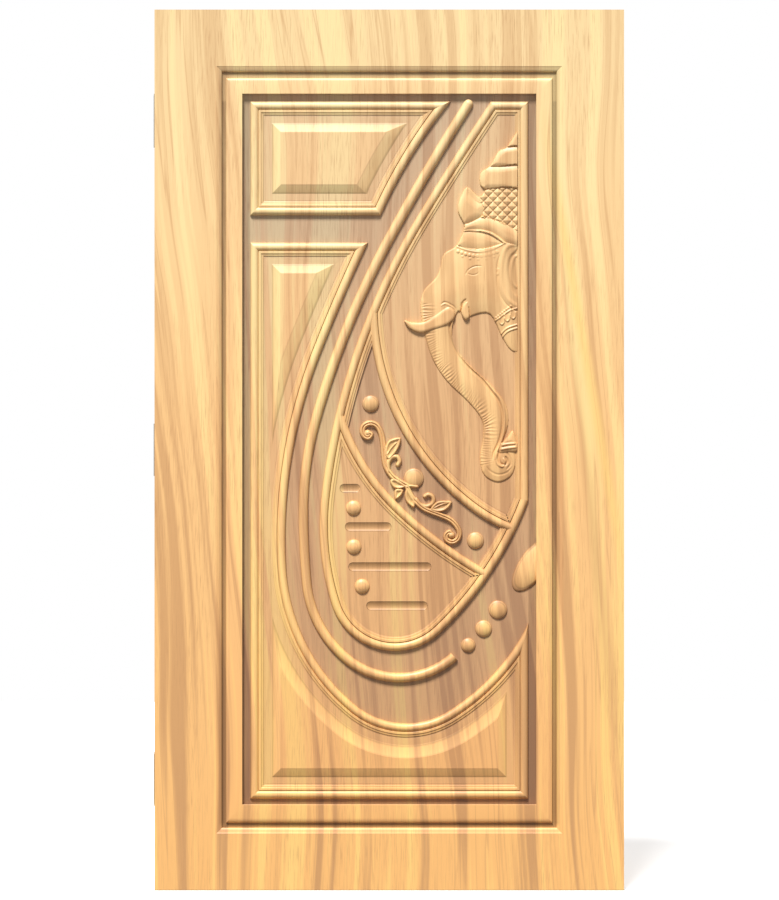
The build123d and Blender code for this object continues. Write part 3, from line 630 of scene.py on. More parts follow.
@dataclass
class Rod:
    """The long half-round rod with its ball."""

    line: Run
    material: bpy.types.Material
    half_width: float = 12.0
    crown: float = 17.5
    ball: float = 11.5

    def build(self) -> None:
        """Sweep the half round along the line and set the ball on its upper end."""
        arc = arc_through((-self.half_width, FLOOR), (0.0, self.crown), (self.half_width, FLOOR), 21)
        section = np.vstack([[(-self.half_width, ROOT)], arc, [(self.half_width, ROOT)]])
        shape = Shape().tube(swept(self.line.path(0.0), 1, section))
        x, z = self.line.start
        shape.lid(dome_grid(x, z, self.ball, self.ball, FLOOR, round_profile(16)))
        shape.made("long_rod_fine", self.material, "long_rod")


def round_profile(rings: int) -> np.ndarray:
    """Shares of the radius and the height up a quarter of a circle.

    Args:
        rings: Number of rings.

    Returns:
        An array of shares.
    """
    turn = np.linspace(0.0, pi / 2 * 0.985, rings)
    return np.stack([np.cos(turn), np.sin(turn)], 1)


def pillow_profile(radius: float, height: float, edge: float, rings: int) -> np.ndarray:
    """Shares of the radius and the height up a rounded edge that runs into a flatter crown.

    The crown's radius is (a squared + h squared - e squared) over twice (h - e), where a is the
    radius less the edge e and h is the height.

    Args:
        radius: The boss's radius.
        height: Its height.
        edge: Radius of its rounded edge.
        rings: Number of rings.

    Returns:
        An array of shares.
    """
    across = radius - edge
    crown = (across**2 + height**2 - edge**2) / (2 * (height - edge))
    limit = np.arctan2(across, crown - height)
    low = np.linspace(0.0, pi / 2 - limit, rings // 2, endpoint=False)
    high = np.linspace(limit, 0.02, rings - rings // 2)
    outer = np.stack([across + edge * np.cos(low), edge * np.sin(low)], 1)
    inner = np.stack([crown * np.sin(high), height - crown + crown * np.cos(high)], 1)
    return np.vstack([outer, inner]) / (radius, height)


def dome_grid(
    x: float, z: float, radius: float, height: float, floor: float, profile: np.ndarray
) -> np.ndarray:
    """Rings of a dome, radius and height each times the profile's share.

    Args:
        x: Centre across.
        z: Centre up.
        radius: Its radius.
        height: Its height over its floor.
        floor: Height of that floor.
        profile: Shares of radius and height, from the foot up.

    Returns:
        An array of rings by points by three.
    """
    turn = np.linspace(0.0, 2 * pi, 64, endpoint=False)
    shares = np.vstack([[profile[0, 0], 0.0], profile])
    lift = floor + height * shares[:, 1]
    lift[0] = ROOT
    reach = radius * shares[:, :1]
    wide = x + reach * np.cos(turn)
    tall = z + reach * np.sin(turn)
    return np.stack([wide, np.broadcast_to(-lift[:, None], wide.shape), tall], -1)


@dataclass(frozen=True)
class Boss:
    """One round boss, on the drawn field."""

    across: float
    up: float
    diameter: float
    floor: float


@dataclass
class Bosses:
    """The round bosses and the almond-shaped one."""

    material: bpy.types.Material
    height: float = 9.0
    edge: float = 5.0
    almond: tuple[float, float] = (676.0, 559.0)
    almond_size: tuple[float, float, float] = (150.0, 66.0, 10.5)
    almond_tilt: float = 55.0
    round: tuple[Boss, ...] = (
        Boss(288.0, 943.7, 40.6, FLOOR),
        Boss(391.1, 765.5, 48.4, FLOOR),
        Boss(538.1, 617.2, 40.6, FLOOR),
        Boss(246.9, 695.2, 35.8, RECESS),
        Boss(247.9, 602.2, 35.8, RECESS),
        Boss(267.5, 508.0, 35.8, RECESS),
        Boss(592.0, 451.9, 44.9, FLOOR),
        Boss(557.6, 406.6, 40.6, FLOOR),
        Boss(520.9, 367.0, 35.1, FLOOR),
    )

    def build(self) -> None:
        """Build every boss."""
        for index, boss in enumerate(self.round, start=1):
            x, z = spot(boss.across, boss.up)
            radius = boss.diameter / 2
            profile = pillow_profile(radius, self.height, self.edge, 22)
            grid = dome_grid(x, z, radius, self.height, boss.floor, profile)
            node = f"round_boss_{index}"
            Shape().lid(grid).made(node + "_fine", self.material, node)
        x, z = spot(*self.almond)
        length, width, height = self.almond_size
        grid = dome_grid(0.0, 0.0, 1.0, height, FLOOR, round_profile(28))
        tilt = radians(self.almond_tilt)
        along, side = grid[..., 0] * length / 2, grid[..., 2] * width / 2
        wide = x + along * np.cos(tilt) - side * np.sin(tilt)
        tall = z + along * np.sin(tilt) + side * np.cos(tilt)
        grid[..., 0] = np.minimum(wide, INNER_RIGHT)
        grid[..., 2] = tall
        Shape().lid(grid).made("almond_boss_fine", self.material, "almond_boss")


@dataclass
class Slots:
    """Hollow floors of the four slots, deepest along their middle."""

    material: bpy.types.Material
    radius: float = 10.5
    depth: float = 2.9
    slots: tuple[tuple[float, float, float], ...] = (
        (238.8, 741.9, 49.4),
        (282.1, 650.1, 111.0),
        (333.9, 554.5, 198.0),
        (350.9, 461.4, 146.7),
    )

    def build(self) -> None:
        """Build the floors as one piece."""
        shape = Shape()
        for across, up, length in self.slots:
            reach = length / 2
            low, high = (across - reach, up - self.radius), (across + reach, up + self.radius)
            relief = Relief(low, high, 1.0, {})
            run = np.array([spot(across + side * (reach - self.radius), up) for side in (-1, 1)])
            part, away, _ = relief.near(run, self.radius + 2.0)
            share = away / self.radius
            relief.height[part] = RECESS - 0.1 - self.depth * (1.0 - share**2)
            there = np.full(relief.height.shape, False)
            there[part] = share < 1.0
            shape.relief(relief.x, relief.z, relief.height, there)
        shape.made("slot_floors_fine", self.material, angle=60.0)


# Outline and lines of the carving on the drawn field
def drawn(table: str) -> dict[str, np.ndarray]:
    """Lines by name from a table of names, each with its points across,up on the drawn field."""
    named = re.findall(r"(\w+):([^:]*)(?=\n|$)", table)
    return {name: np.array([p.split(",") for p in rest.split()], float) for name, rest in named}


FIGURE_LINES = drawn(
    """
outline: 639,1594 613,1556 594,1547 575,1513 551,1494 549,1468 561,1454 547,1437 518,1461 499,1425
    497,1401 511,1373 508,1349 492,1320 463,1301 454,1268 444,1244 415,1213 407,1172 415,1120 435,1053
    470,998 520,950 554,905 556,862 549,814 559,774 592,757 623,772 634,805 628,836 599,841 616,893
    611,941 582,981 520,1039 489,1082 482,1125 497,1165 513,1144 535,1156 573,1158 602,1103 621,1074
    639,1067 646,1078 646,1098 646,1138 646,1218 646,1378 646,1498 646,1558 646,1588
crown_top: 646,1610 637,1598 629,1587 620,1572 611,1556 628,1552 646,1552
crown_middle: 646,1556 612,1556 597,1549 584,1536 575,1523 571,1508 600,1506 646,1506
crown_low: 646,1511 600,1511 566,1510 555,1501 549,1484 550,1468 558,1454 600,1453 646,1453
lattice: 548,1453 548,1434 554,1400 560,1388 585,1382 608,1373 646,1352 646,1453
flame: 518,1461 525,1443 540,1428 556,1418 557,1400 549,1387 513,1372 502,1388 495,1411 498,1430 507,1446
brim: 511,1370 530,1380 552,1388 584,1382 608,1372 646,1350 646,1322 609,1329 591,1342 573,1352 549,1357
    525,1357 508,1355
rim: 508,1354 525,1357 549,1357 573,1352 591,1341 608,1327
cap: 507,1351 525,1353 549,1353 572,1348 590,1337 603,1327 585,1320 567,1315 543,1312 519,1315 503,1320
    496,1325
string: 490,1321 504,1315 519,1310 543,1306 567,1309 585,1315 604,1325
bead_line: 492,1309 506,1304 521,1299 543,1296 565,1298 583,1303 597,1310
pendant_line: 498,1299 520,1291 543,1288 566,1290 590,1297
ear_rim: 646,1325 621,1322 608,1310 602,1287 599,1263 599,1239 604,1215 615,1194 630,1181 646,1174
ear_line: 596,1300 591,1276 590,1250 591,1226 598,1202 611,1182 627,1170 646,1163
ear_hollow: 646,1311 627,1307 615,1290 611,1263 614,1239 622,1215 633,1200 646,1194
ear_fold: 646,1299 632,1294 625,1274 624,1250 631,1228 646,1216
temple: 590,1268 594,1258 589,1250
brow_line: 514,1251 520,1262 530,1269 541,1272 554,1272
eye_line: 518,1255 530,1251 541,1253 546,1259
mouth: 500,1160 506,1170 506,1182 516,1194
lip: 519,1188 509,1180 505,1167 507,1153 515,1144 523,1150 523,1163 521,1177
tusk: 369,1142 385,1138 406,1137 424,1142 442,1154 460,1167 475,1174 487,1165 488,1150 477,1137 459,1128
    436,1121 412,1114 394,1117 378,1127
socket: 455,1176 465,1182 478,1177 488,1170 493,1158
trunk_left: 410,1183 411,1150 418,1111 423,1090 432,1063 446,1032 467,1005 491,975 515,954 541,930 556,903
    560,875 555,846 548,822 547,798
trunk_edge: 495,1162 486,1132 490,1102 505,1066 531,1033 561,1006 584,977 602,953 611,923 611,890 606,864
    599,845 591,828 588,810
finger: 591,829 588,813 592,799 602,794 609,803 604,815
finger_fold: 612,829 620,815 622,800 612,786
curl: 562,800 570,786 590,775 612,779 626,793
sweet: 627,879 617,868 604,851 618,847 634,849 634,862
collar: 600,850 616,852 636,853 637,832 617,829 596,827
collar_high: 602,845 616,848 631,849
collar_low: 600,835 616,838 633,840
necklace_beads: 585,1147 600,1159 612,1169 625,1178
necklace_high: 580,1139 593,1147 606,1157 620,1166 638,1172
necklace_low: 600,1099 609,1111 621,1119 646,1127
necklace_rim: 597,1107 607,1119 620,1127 646,1135
loop: -6,8 -5,-2 0,-7 5,-2 6,8
"""
)
SCROLL_LINES = drawn(
    """
stem_high: 281,874 288,870 283,864 274,866 269,876 271,889 280,896 292,897 304,890 313,872 318,846 320,820
    324,796 334,777 350,762 375,748
stem_low: 375,745 384,726 396,710 413,695 432,686 456,677 478,667 493,652 500,636 496,621 483,614 470,619
    468,630 476,637 481,630
leaf_high: 330,810 322,828 325,846 334,858 356,864 361,858 356,840 344,821
vein_high: 327,822 337,838 351,853
curl_high: 330,783 330,803 339,816 351,817 357,807 353,798
tail: 372,745 384,748 399,746
leaf_left: 337,764 353,763 373,747 358,740 343,743 335,754
leaf_small: 346,739 366,739 362,725 347,715
leaf_down: 374,745 369,726 374,708 392,695 394,714 384,732
curl_low: 397,715 407,703 421,699 433,704 438,713 435,723 425,727 418,723
leaf_low: 430,692 444,709 462,713 482,710 476,697 463,687 445,685
vein_low: 437,693 454,702 473,707
"""
)


def smooth(points: Sequence[tuple[float, float]], closed: bool = False, parts: int = 6) -> np.ndarray:
    """A rounded line through points.

    Between two points it is the cubic whose slope at each one is half the step from the point
    before it to the point after it.

    Args:
        points: Points on the drawn field.
        closed: Whether it comes back to its first point.
        parts: Pieces between two points.

    Returns:
        Points across and up in the leaf.
    """
    at = np.add(points, spot(0.0, 0.0))
    if closed:
        around = np.vstack([at[-1:], at, at[:2]])
    else:
        around = np.vstack([2 * at[:1] - at[1:2], at, 2 * at[-1:] - at[-2:-1]])
    a, b, c, d = around[:-3], around[1:-2], around[2:-1], around[3:]
    t = np.linspace(0.0, 1.0, parts, endpoint=False)[None, :, None]
    a, b, c, d = (p[:, None] for p in (a, b, c, d))
    line = 0.5 * (
        2 * b + (c - a) * t + (2 * a - 5 * b + 4 * c - d) * t**2 + (3 * b - a - 3 * c + d) * t**3
    )
    line = line.reshape(-1, 2)
    return np.vstack([line, line[:1] if closed else at[-1:]])


def rounded(share: np.ndarray) -> np.ndarray:
    """Height share of a rounded edge: the root of one less the square of what is left."""
    left = 1.0 - np.clip(share, 0.0, 1.0)
    return np.sqrt(np.maximum(0.0, 1.0 - left**2))


def bump(share: np.ndarray) -> np.ndarray:
    """One at nought and nought from one on, like half a wave of a cosine."""
    return 0.5 + 0.5 * np.cos(pi * np.clip(share, 0.0, 1.0))


class Relief:
    """A carving as a height over its ground at every place of a grid."""

    def __init__(self, low: tuple, high: tuple, step: float, lines: dict[str, np.ndarray]) -> None:
        """Lay the grid out.

        Args:
            low: Its lower left corner on the drawn field.
            high: Its upper right corner.
            step: Distance between places.
            lines: The drawn lines that it is carved along.
        """
        (x0, z0), (x1, z1) = spot(*low), spot(*high)
        self.x = np.arange(x0, x1 + step / 2, step)
        self.z = np.arange(z0, z1 + step / 2, step)
        self.wide, self.tall = np.meshgrid(self.x, self.z)
        self.height = np.zeros_like(self.wide)
        self.step = step
        self.lines = lines

    def line(self, name: str, closed: bool = False, parts: int = 6) -> np.ndarray:
        """One of its lines, made smooth."""
        return smooth(self.lines[name], closed, parts)

    def near(self, line: np.ndarray, reach: float) -> tuple[tuple[slice, slice], np.ndarray, np.ndarray]:
        """Distance of the places round a line from it: that to the nearest of its pieces.

        Args:
            line: Its points.
            reach: How far round it places are looked at.

        Returns:
            The part of the grid, the distances there, and the position along the line.
        """
        low, high = line.min(0) - reach, line.max(0) + reach
        columns = slice(*np.searchsorted(self.x, (low[0], high[0])))
        rows = slice(*np.searchsorted(self.z, (low[1], high[1])))
        wide, tall = self.wide[rows, columns], self.tall[rows, columns]
        best = np.full(wide.shape, 1e9)
        place = np.zeros(wide.shape)
        begun = 0.0
        for (x0, z0), (x1, z1) in zip(line[:-1], line[1:]):
            run = np.array([x1 - x0, z1 - z0])
            size = max(float(run @ run), 1e-9)
            share = np.clip(((wide - x0) * run[0] + (tall - z0) * run[1]) / size, 0.0, 1.0)
            away = np.hypot(wide - x0 - share * run[0], tall - z0 - share * run[1])
            closer = away < best
            best = np.where(closer, away, best)
            place = np.where(closer, begun + share * np.sqrt(size), place)
            begun += np.sqrt(size)
        return (rows, columns), best, place

    def inside(self, line: np.ndarray, reach: float = 0.0) -> tuple[tuple[slice, slice], np.ndarray]:
        """Depth of places inside a closed line, below nought outside it.

        A place is inside where a level line from it crosses the outline an odd number of times.

        Args:
            line: The closed line.
            reach: How far outside it places are looked at.

        Returns:
            The part of the grid and the depths there.
        """
        part, away, _ = self.near(line, reach + 2 * self.step)
        wide, tall = self.wide[part], self.tall[part]
        crossings = np.zeros(wide.shape, int)
        for (x0, z0), (x1, z1) in zip(line[:-1], line[1:]):
            if z0 == z1:
                continue
            spans = (tall >= min(z0, z1)) & (tall < max(z0, z1))
            crossings += spans & (wide < x0 + (tall - z0) * (x1 - x0) / (z1 - z0))
        return part, np.where(crossings % 2 == 1, away, -away)

    def swell(self, line: np.ndarray, rise: float, edge: float, soft: bool = False) -> "Relief":
        """Raise what is inside a closed line.

        Args:
            line: The closed line.
            rise: Height by which its inside is raised.
            edge: Distance over which it rises.
            soft: Whether it rises like a slope and not like a rounded edge.

        Returns:
            This relief.
        """
        part, depth = self.inside(line)
        share = 1.0 - bump(depth / edge) if soft else rounded(depth / edge)
        self.height[part] += rise * share * (depth > 0)
        return self

    def blurred(self, times: int) -> "Relief":
        """Even the heights out: each becomes the mean of its four neighbours.

        Args:
            times: How often.

        Returns:
            This relief.
        """
        for _ in range(times):
            across = np.roll(self.height, 1, 1) + np.roll(self.height, -1, 1)
            self.height = (across + np.roll(self.height, 1, 0) + np.roll(self.height, -1, 0)) / 4
        return self

    def form(self, name: str, low: float, high: float, edge: float, alone: bool = False) -> "Relief":
        """Set a rounded form over what is there, or a fuller one in its place.

        Args:
            name: Name of its outline.
            low: Height at its edge.
            high: Height of its middle.
            edge: Distance over which it rises.
            alone: Whether it takes the place of what is there.

        Returns:
            This relief.
        """
        part, depth = self.inside(self.line(name, closed=True))
        share, there = np.clip(depth / edge, 0.0, 1.0), self.height[part]
        form = low + (high - low) * (share * (2.0 - share) if alone else rounded(share))
        self.height[part] = np.where(depth > 0, form if alone else np.maximum(there, form), there)
        return self

    def ridge(
        self, name: str, width: float, rise: float, taper: float = 0.0, by: tuple[float, float] = (0.0, 0.0)
    ) -> "Relief":
        """Raise a line, or sink it where the rise is below nought.

        Args:
            name: Name of the line.
            width: Distance from it at which the ridge ends.
            rise: Its height.
            taper: Length over which its ends thin out.
            by: How far the line is moved, across and up.

        Returns:
            This relief.
        """
        line = self.line(name) + by
        part, away, place = self.near(line, width)
        length = float(np.hypot(*np.diff(line, axis=0).T).sum())
        ends = rounded(np.minimum(place, length - place) / taper) if taper else 1.0
        self.height[part] += rise * bump(away / (width * np.maximum(ends, 0.05))) * ends
        return self

    def beads(self, name: str, pitch: float, radius: float, rise: float) -> "Relief":
        """Set round beads along a line.

        Args:
            name: Name of the line.
            pitch: Distance between beads.
            radius: Their radius.
            rise: Their height.

        Returns:
            This relief.
        """
        line = self.line(name)
        steps = np.concatenate([[0.0], np.cumsum(np.hypot(*np.diff(line, axis=0).T))])
        at = np.arange(pitch / 2, steps[-1], pitch)
        spots = np.stack([np.interp(at, steps, line[:, k]) for k in (0, 1)], 1)
        part, _, _ = self.near(line, radius)
        wide, tall = self.wide[part][..., None], self.tall[part][..., None]
        away = np.hypot(wide - spots[:, 0], tall - spots[:, 1]).min(-1)
        self.height[part] += rise * rounded(1.0 - away / radius) * (away < radius)
        return self

    def shape(self, floor: float, outlines: Sequence[np.ndarray], limit: float) -> Shape:
        """The carving as a closed shape, where it is near its outlines or inside them.

        Args:
            floor: Height of its ground.
            outlines: The closed outlines.
            limit: Place across at which it is cut off.

        Returns:
            The shape.
        """
        full = np.full(self.height.shape, -99.0)
        for outline in outlines:
            part, depth = self.inside(outline, 8.0)
            full[part] = np.maximum(full[part], depth)
        sunk = np.where(full > 0, self.height, np.maximum(full, -1.0) * 0.8)
        kept = full > -1.6 * self.step
        return Shape().relief(np.minimum(self.x, limit), self.z, floor + sunk, kept)


@dataclass
class Figure:
    """The figure in low relief."""

    material: bpy.types.Material
    cut: float = RIGHT - 27.0
    full: float = 9.3
    lattice_pitch: float = 22.5
    loops: tuple = ((601, 1140), (614, 1148), (628, 1154))

    def build(self) -> None:
        """Carve its forms from the broad to the fine and make the piece."""
        relief = Relief((362.0, 748.0), (639.5, 1602.0), 1.3, FIGURE_LINES)
        outline = relief.line("outline", closed=True, parts=4)
        relief.swell(outline, 3.8, 40.0).swell(outline, 4.0, 84.0, soft=True).blurred(120)
        relief.swell(outline, 1.9, 4.0)
        self.trunk(relief)
        self.head(relief)
        self.headdress(relief)
        self.dress(relief)
        over = np.maximum(relief.height - self.full, 0.0)
        relief.height = np.minimum(relief.height, self.full + 0.25 * over)
        outlines = [outline, *(relief.line(name, closed=True) for name in ("tusk", "sweet", "collar"))]
        piece = relief.shape(RECESS, outlines, self.cut)
        piece.made("figure_relief_fine", self.material, "figure_relief", angle=80.0)

    def headdress(self, relief: Relief) -> None:
        """Carve the tiers, lattice, flame, cap and beads.

        Args:
            relief: The carving.
        """
        for name, edge in (("crown_top", 14.0), ("crown_middle", 19.0), ("crown_low", 22.0)):
            relief.form(name, 3.8, 10.0, edge, alone=True)
        part, depth = relief.inside(relief.line("lattice", closed=True))
        wide, tall = (at[part] / self.lattice_pitch for at in (relief.wide, relief.tall))
        pillow = 1.0 - np.maximum(*(abs(2 * np.mod(wide + k * tall, 1.0) - 1.0) for k in (1, -1)))
        lattice = 3.0 + (1.6 * np.minimum(1.0, 5.0 * pillow) + 3.0 * pillow) * np.clip(depth / 3.0, 0.0, 1.0)
        relief.height[part] = np.where(depth > 0, lattice, relief.height[part])
        relief.form("brim", 5.0, 9.0, 16.0, alone=True).form("flame", 4.0, 9.4, 20.0, alone=True)
        relief.form("cap", 5.6, 8.2, 18.0, alone=True).ridge("rim", 3.2, 2.0).ridge("string", 2.8, 1.5)
        relief.beads("bead_line", 9.6, 4.4, 2.0).beads("pendant_line", 19.2, 3.2, 1.2)

    def head(self, relief: Relief) -> None:
        """Carve the brow, eye, mouth, ear and tusk.

        Args:
            relief: The carving.
        """
        relief.ridge("brow_line", 2.4, -1.4, 8.0).ridge("eye_line", 2.2, -1.3, 8.0)
        relief.ridge("temple", 5.0, 1.2, 6.0).ridge("ear_line", 4.0, -1.6, 30.0).ridge("ear_rim", 8.0, 1.6)
        relief.swell(relief.line("ear_hollow", closed=True), -2.8, 8.0, soft=True)
        relief.ridge("ear_fold", 6.0, 1.6, 10.0).ridge("lip", 4.0, -2.0, 8.0)
        relief.ridge("mouth", 4.0, -2.8, 6.0).form("lip", 5.2, 9.4, 8.0)
        relief.ridge("socket", 3.4, -1.4, 10.0, by=(0.0, 4.0)).ridge("socket", 3.4, 1.0, 10.0)
        relief.form("tusk", 6.2, 9.8, 12.0)

    def trunk(self, relief: Relief) -> None:
        """Carve the wrinkles of its outer side, the thin rim of its inner side and the rolled tip.

        A wrinkle is a sine of the place along the side, its phase and its reach swaying with slower
        sines of that place.

        Args:
            relief: The carving.
        """
        part, away, place = relief.near(relief.line("trunk_left"), 46.0)
        reach = 37.0 + 5.0 * np.sin(place / 13.0) + 4.0 * np.sin(place / 5.1)
        share = bump(away / reach) * np.clip(away / 4.0, 0.0, 1.0) * (0.7 + 0.3 * np.sin(place / 23.0))
        wave = 2 * pi * (place + 0.12 * away) / 6.4 + 2.0 * np.sin(place / 9.0 + away / 11.0)
        relief.height[part] += 0.8 * np.sin(wave + 0.9 * np.sin(place / 4.3)) * share
        relief.ridge("trunk_edge", 4.6, -2.4, 30.0, by=(-9.5, -2.0))
        relief.ridge("trunk_edge", 4.0, 2.6, 20.0, by=(-3.4, -1.0))
        relief.ridge("curl", 4.0, -1.0, 20.0).ridge("finger_fold", 4.0, -1.6, 8.0)
        relief.ridge("finger", 5.0, -3.0, 8.0, by=(5.0, 4.0)).ridge("finger", 4.0, 2.4, 8.0)

    def dress(self, relief: Relief) -> None:
        """Carve the sweet, its collars, and the necklace with its loops.

        Args:
            relief: The carving.
        """
        relief.form("sweet", 3.0, 8.8, 15.0).form("collar", 3.0, 7.0, 6.0)
        relief.ridge("collar_high", 4.6, 2.6).ridge("collar_low", 4.6, 2.6)
        for name in ("necklace_high", "necklace_low", "necklace_rim"):
            relief.ridge(name, 3.2, 2.0)
        relief.beads("necklace_beads", 6.4, 2.9, 1.8)
        for loop in self.loops:
            relief.ridge("loop", 2.6, 2.2, by=loop)


@dataclass
class Scroll:
    """The scroll and its leaves between the two mouldings across the egg."""

    material: bpy.types.Material
    stems: tuple = (
        ("stem_high", 7.4, 9.5, 3.6),
        ("stem_low", 6.8, 9.5, 3.6),
        ("curl_high", 6.0, 8.0, 0.0),
        ("curl_low", 5.6, 8.0, 0.0),
        ("tail", 4.4, 8.0, 0.0),
    )

    def build(self) -> None:
        """Carve stems, leaves and curls and make the piece."""
        relief = Relief((258.0, 604.0), (512.0, 914.0), 1.0, SCROLL_LINES)
        for name, width, rise, groove in self.stems:
            part, away, _ = relief.near(relief.line(name), 8.0)
            stem = rise * rounded(1.0 - away / width) * (away < width) - groove * bump(away / 2.8)
            relief.height[part] = np.maximum(relief.height[part], stem)
        for name in ("leaf_high", "leaf_left", "leaf_small", "leaf_down", "leaf_low"):
            part, depth = relief.inside(relief.line(name, closed=True))
            leaf = 9.0 * rounded(depth / 4.0) - 3.4 * (1.0 - bump((depth - 3.2) / 6.0)) * (depth > 3.2)
            relief.height[part] = np.maximum(relief.height[part], leaf * (depth > 0))
        relief.ridge("vein_high", 2.6, 2.6, 10.0).ridge("vein_low", 2.6, 2.6, 10.0)
        for name, end in (("stem_high", 0), ("stem_low", -1)):
            x, z = relief.line(name)[end]
            away = np.hypot(relief.wide - x, relief.tall - z)
            relief.height = np.maximum(relief.height, 10.0 * rounded(1.0 - away / 8.5) * (away < 8.5))
        relief.height = np.where(relief.height > 0.05, relief.height, -0.9)
        kept = self.grown(relief.height > 0.05)
        shape = Shape().relief(relief.x, relief.z, FLOOR + relief.height, kept)
        shape.made("scroll_ornament_fine", self.material, "scroll_ornament", angle=80.0)

    @staticmethod
    def grown(kept: np.ndarray) -> np.ndarray:
        """Places that are kept or lie next to one that is.

        Args:
            kept: Which places are kept.

        Returns:
            The same, wider by one place all round.
        """
        wide = kept.copy()
        for axis in (0, 1):
            wide = wide | np.roll(wide, 1, axis) | np.roll(wide, -1, axis)
        return wide


class Value:
    """A shader value: a socket or a number, with arithmetic that makes the nodes."""

    def __init__(self, tree: "Tree", source: object) -> None:
        """Wrap a socket or a number."""
        self.tree = tree
        self.source = source

    def _math(self, operation: str, *others: object, clamp: bool = False) -> "Value":
        """Make one math node, fed by this value and the others.

        Args:
            operation: What it works out.
            others: The further values.
            clamp: Whether its result is held between nought and one.

        Returns:
            Its result.
        """
        node = self.tree.nodes.new("ShaderNodeMath")
        node.operation = operation
        node.use_clamp = clamp
        for socket, value in zip(node.inputs, (self, *others)):
            self.tree.feed(socket, value)
        return Value(self.tree, node.outputs[0])

    def __add__(self, other: object) -> "Value":
        """The sum."""
        return self._math("ADD", other)

    def __sub__(self, other: object) -> "Value":
        """What is left of this value."""
        return self._math("SUBTRACT", other)

    def __mul__(self, other: object) -> "Value":
        """The product."""
        return self._math("MULTIPLY", other)

    def __truediv__(self, other: object) -> "Value":
        """The ratio."""
        return self._math("DIVIDE", other)

    def __radd__(self, other: object) -> "Value":
        """The sum with a number before it."""
        return self + other

    def __rmul__(self, other: object) -> "Value":
        """The product with a number before it."""
        return self * other

    def __rsub__(self, other: object) -> "Value":
        """What is left of a number before it."""
        return Value(self.tree, other) - self

    def size(self) -> "Value":
        """Its size without the sign."""
        return self._math("ABSOLUTE")

    def over(self, other: object) -> "Value":
        """The greater of the two."""
        return self._math("MAXIMUM", other)

    def share(self, low: float, high: float) -> "Value":
        """Nought at low and one at high, held between them."""
        return (self - low)._math("DIVIDE", high - low, clamp=True)


class Tree:
    """Node tree of a material or of the world."""

    def __init__(self, owner: bpy.types.Material | bpy.types.World) -> None:
        """Empty the owner's tree.

        Args:
            owner: The material or the world.
        """
        owner.use_nodes = True
        self.owner = owner
        self.nodes, self.links = owner.node_tree.nodes, owner.node_tree.links
        self.nodes.clear()

    def feed(self, socket: bpy.types.NodeSocket, value: object) -> None:
        """Link or set one input.

        Args:
            socket: The input.
            value: What goes into it.
        """
        source = value.source if isinstance(value, Value) else value
        if isinstance(source, bpy.types.NodeSocket):
            self.links.new(source, socket)
        else:
            socket.default_value = source

    def node(
        self, kind: str, settings: dict | None = None, output: object = 0, **inputs: object
    ) -> Value:
        """Make any node.

        Args:
            kind: Its type.
            settings: Its properties by name.
            output: Name or number of the output wanted.
            inputs: Values by socket name, with an underscore for each space.

        Returns:
            That output.
        """
        made = self.nodes.new(kind)
        for key, setting in (settings or {}).items():
            setattr(made, key, setting)
        for key, value in inputs.items():
            name = key.replace("_", " ")
            number = int(key[2:]) if key.startswith("in") and key[2:].isdigit() else None
            self.feed(made.inputs[name if number is None else number], value)
        return Value(self, made.outputs[output])

    def place(self) -> tuple[Value, Value, Value]:
        """Coordinates of the piece itself, in metres."""
        split = self.nodes.new("ShaderNodeSeparateXYZ")
        self.feed(split.inputs[0], self.node("ShaderNodeTexCoord", output="Object"))
        return tuple(Value(self, split.outputs[k]) for k in range(3))

    def noise(self, x: object, y: object, z: object, detail: float = 3.0, rough: float = 0.55) -> Value:
        """Noise at the given coordinates.

        Args:
            x: Coordinate across.
            y: Coordinate in depth.
            z: Coordinate upwards.
            detail: How many finer layers it has.
            rough: How strong they are.

        Returns:
            The noise, round one half.
        """
        vector = self.node("ShaderNodeCombineXYZ", X=x, Y=y, Z=z)
        return self.node(
            "ShaderNodeTexNoise", Vector=vector, Scale=1.0, Detail=detail, Roughness=rough
        )

    def mixed(self, factor: object, first: object, second: object, blend: Blend = Blend.COVER) -> Value:
        """Two colours mixed by a factor.

        Args:
            factor: Share of the second.
            first: The first colour.
            second: The second one.
            blend: How the second goes over the first.

        Returns:
            The mixed colour.
        """
        settings = {"data_type": "RGBA", "blend_type": blend.value, "clamp_factor": True}
        return self.node("ShaderNodeMix", settings, 2, in0=factor, in6=first, in7=second)

    def ramp(self, factor: Value, stops: Sequence[tuple[float, tuple]]) -> Value:
        """Colour of a value that runs over stops.

        Args:
            factor: The value.
            stops: Positions and their colours, in order.

        Returns:
            The colour.
        """
        made = self.nodes.new("ShaderNodeValToRGB")
        elements = made.color_ramp.elements
        elements[0].position, elements[1].position = stops[0][0], stops[-1][0]
        for position, _ in stops[1:-1]:
            elements.new(position)
        for element, (_, colour) in zip(elements, stops):
            element.color = (*colour, 1.0)
        self.feed(made.inputs[0], factor)
        return Value(self, made.outputs[0])

    def finish(self, colour: object, roughness: object, height: Value, **more: object) -> bpy.types.Material:
        """Close the tree with a surface shader.

        Args:
            colour: Base colour.
            roughness: Roughness.
            height: Height in metres that makes the bumps.
            more: Further inputs of the surface shader.

        Returns:
            The material.
        """
        normal = self.node("ShaderNodeBump", Strength=1.0, Distance=1.0, Height=height)
        surface = self.node(
            "ShaderNodeBsdfPrincipled", Base_Color=colour, Roughness=roughness, Normal=normal, **more
        )
        self.closed("ShaderNodeOutputMaterial", surface)
        return self.owner

    def closed(self, kind: str, surface: Value) -> None:
        """Feed an output node of that type."""
        self.feed(self.nodes.new(kind).inputs["Surface"], surface)


def linear(red: float, green: float, blue: float) -> tuple[float, float, float, float]:
    """The linear colour of values out of 255 as they are shown."""
    shown = np.array([red, green, blue]) / 255.0
    low, high = shown / 12.92, ((shown + 0.055) / 1.055) ** 2.4
    return (*np.where(shown <= 0.04045, low, high).tolist(), 1.0)


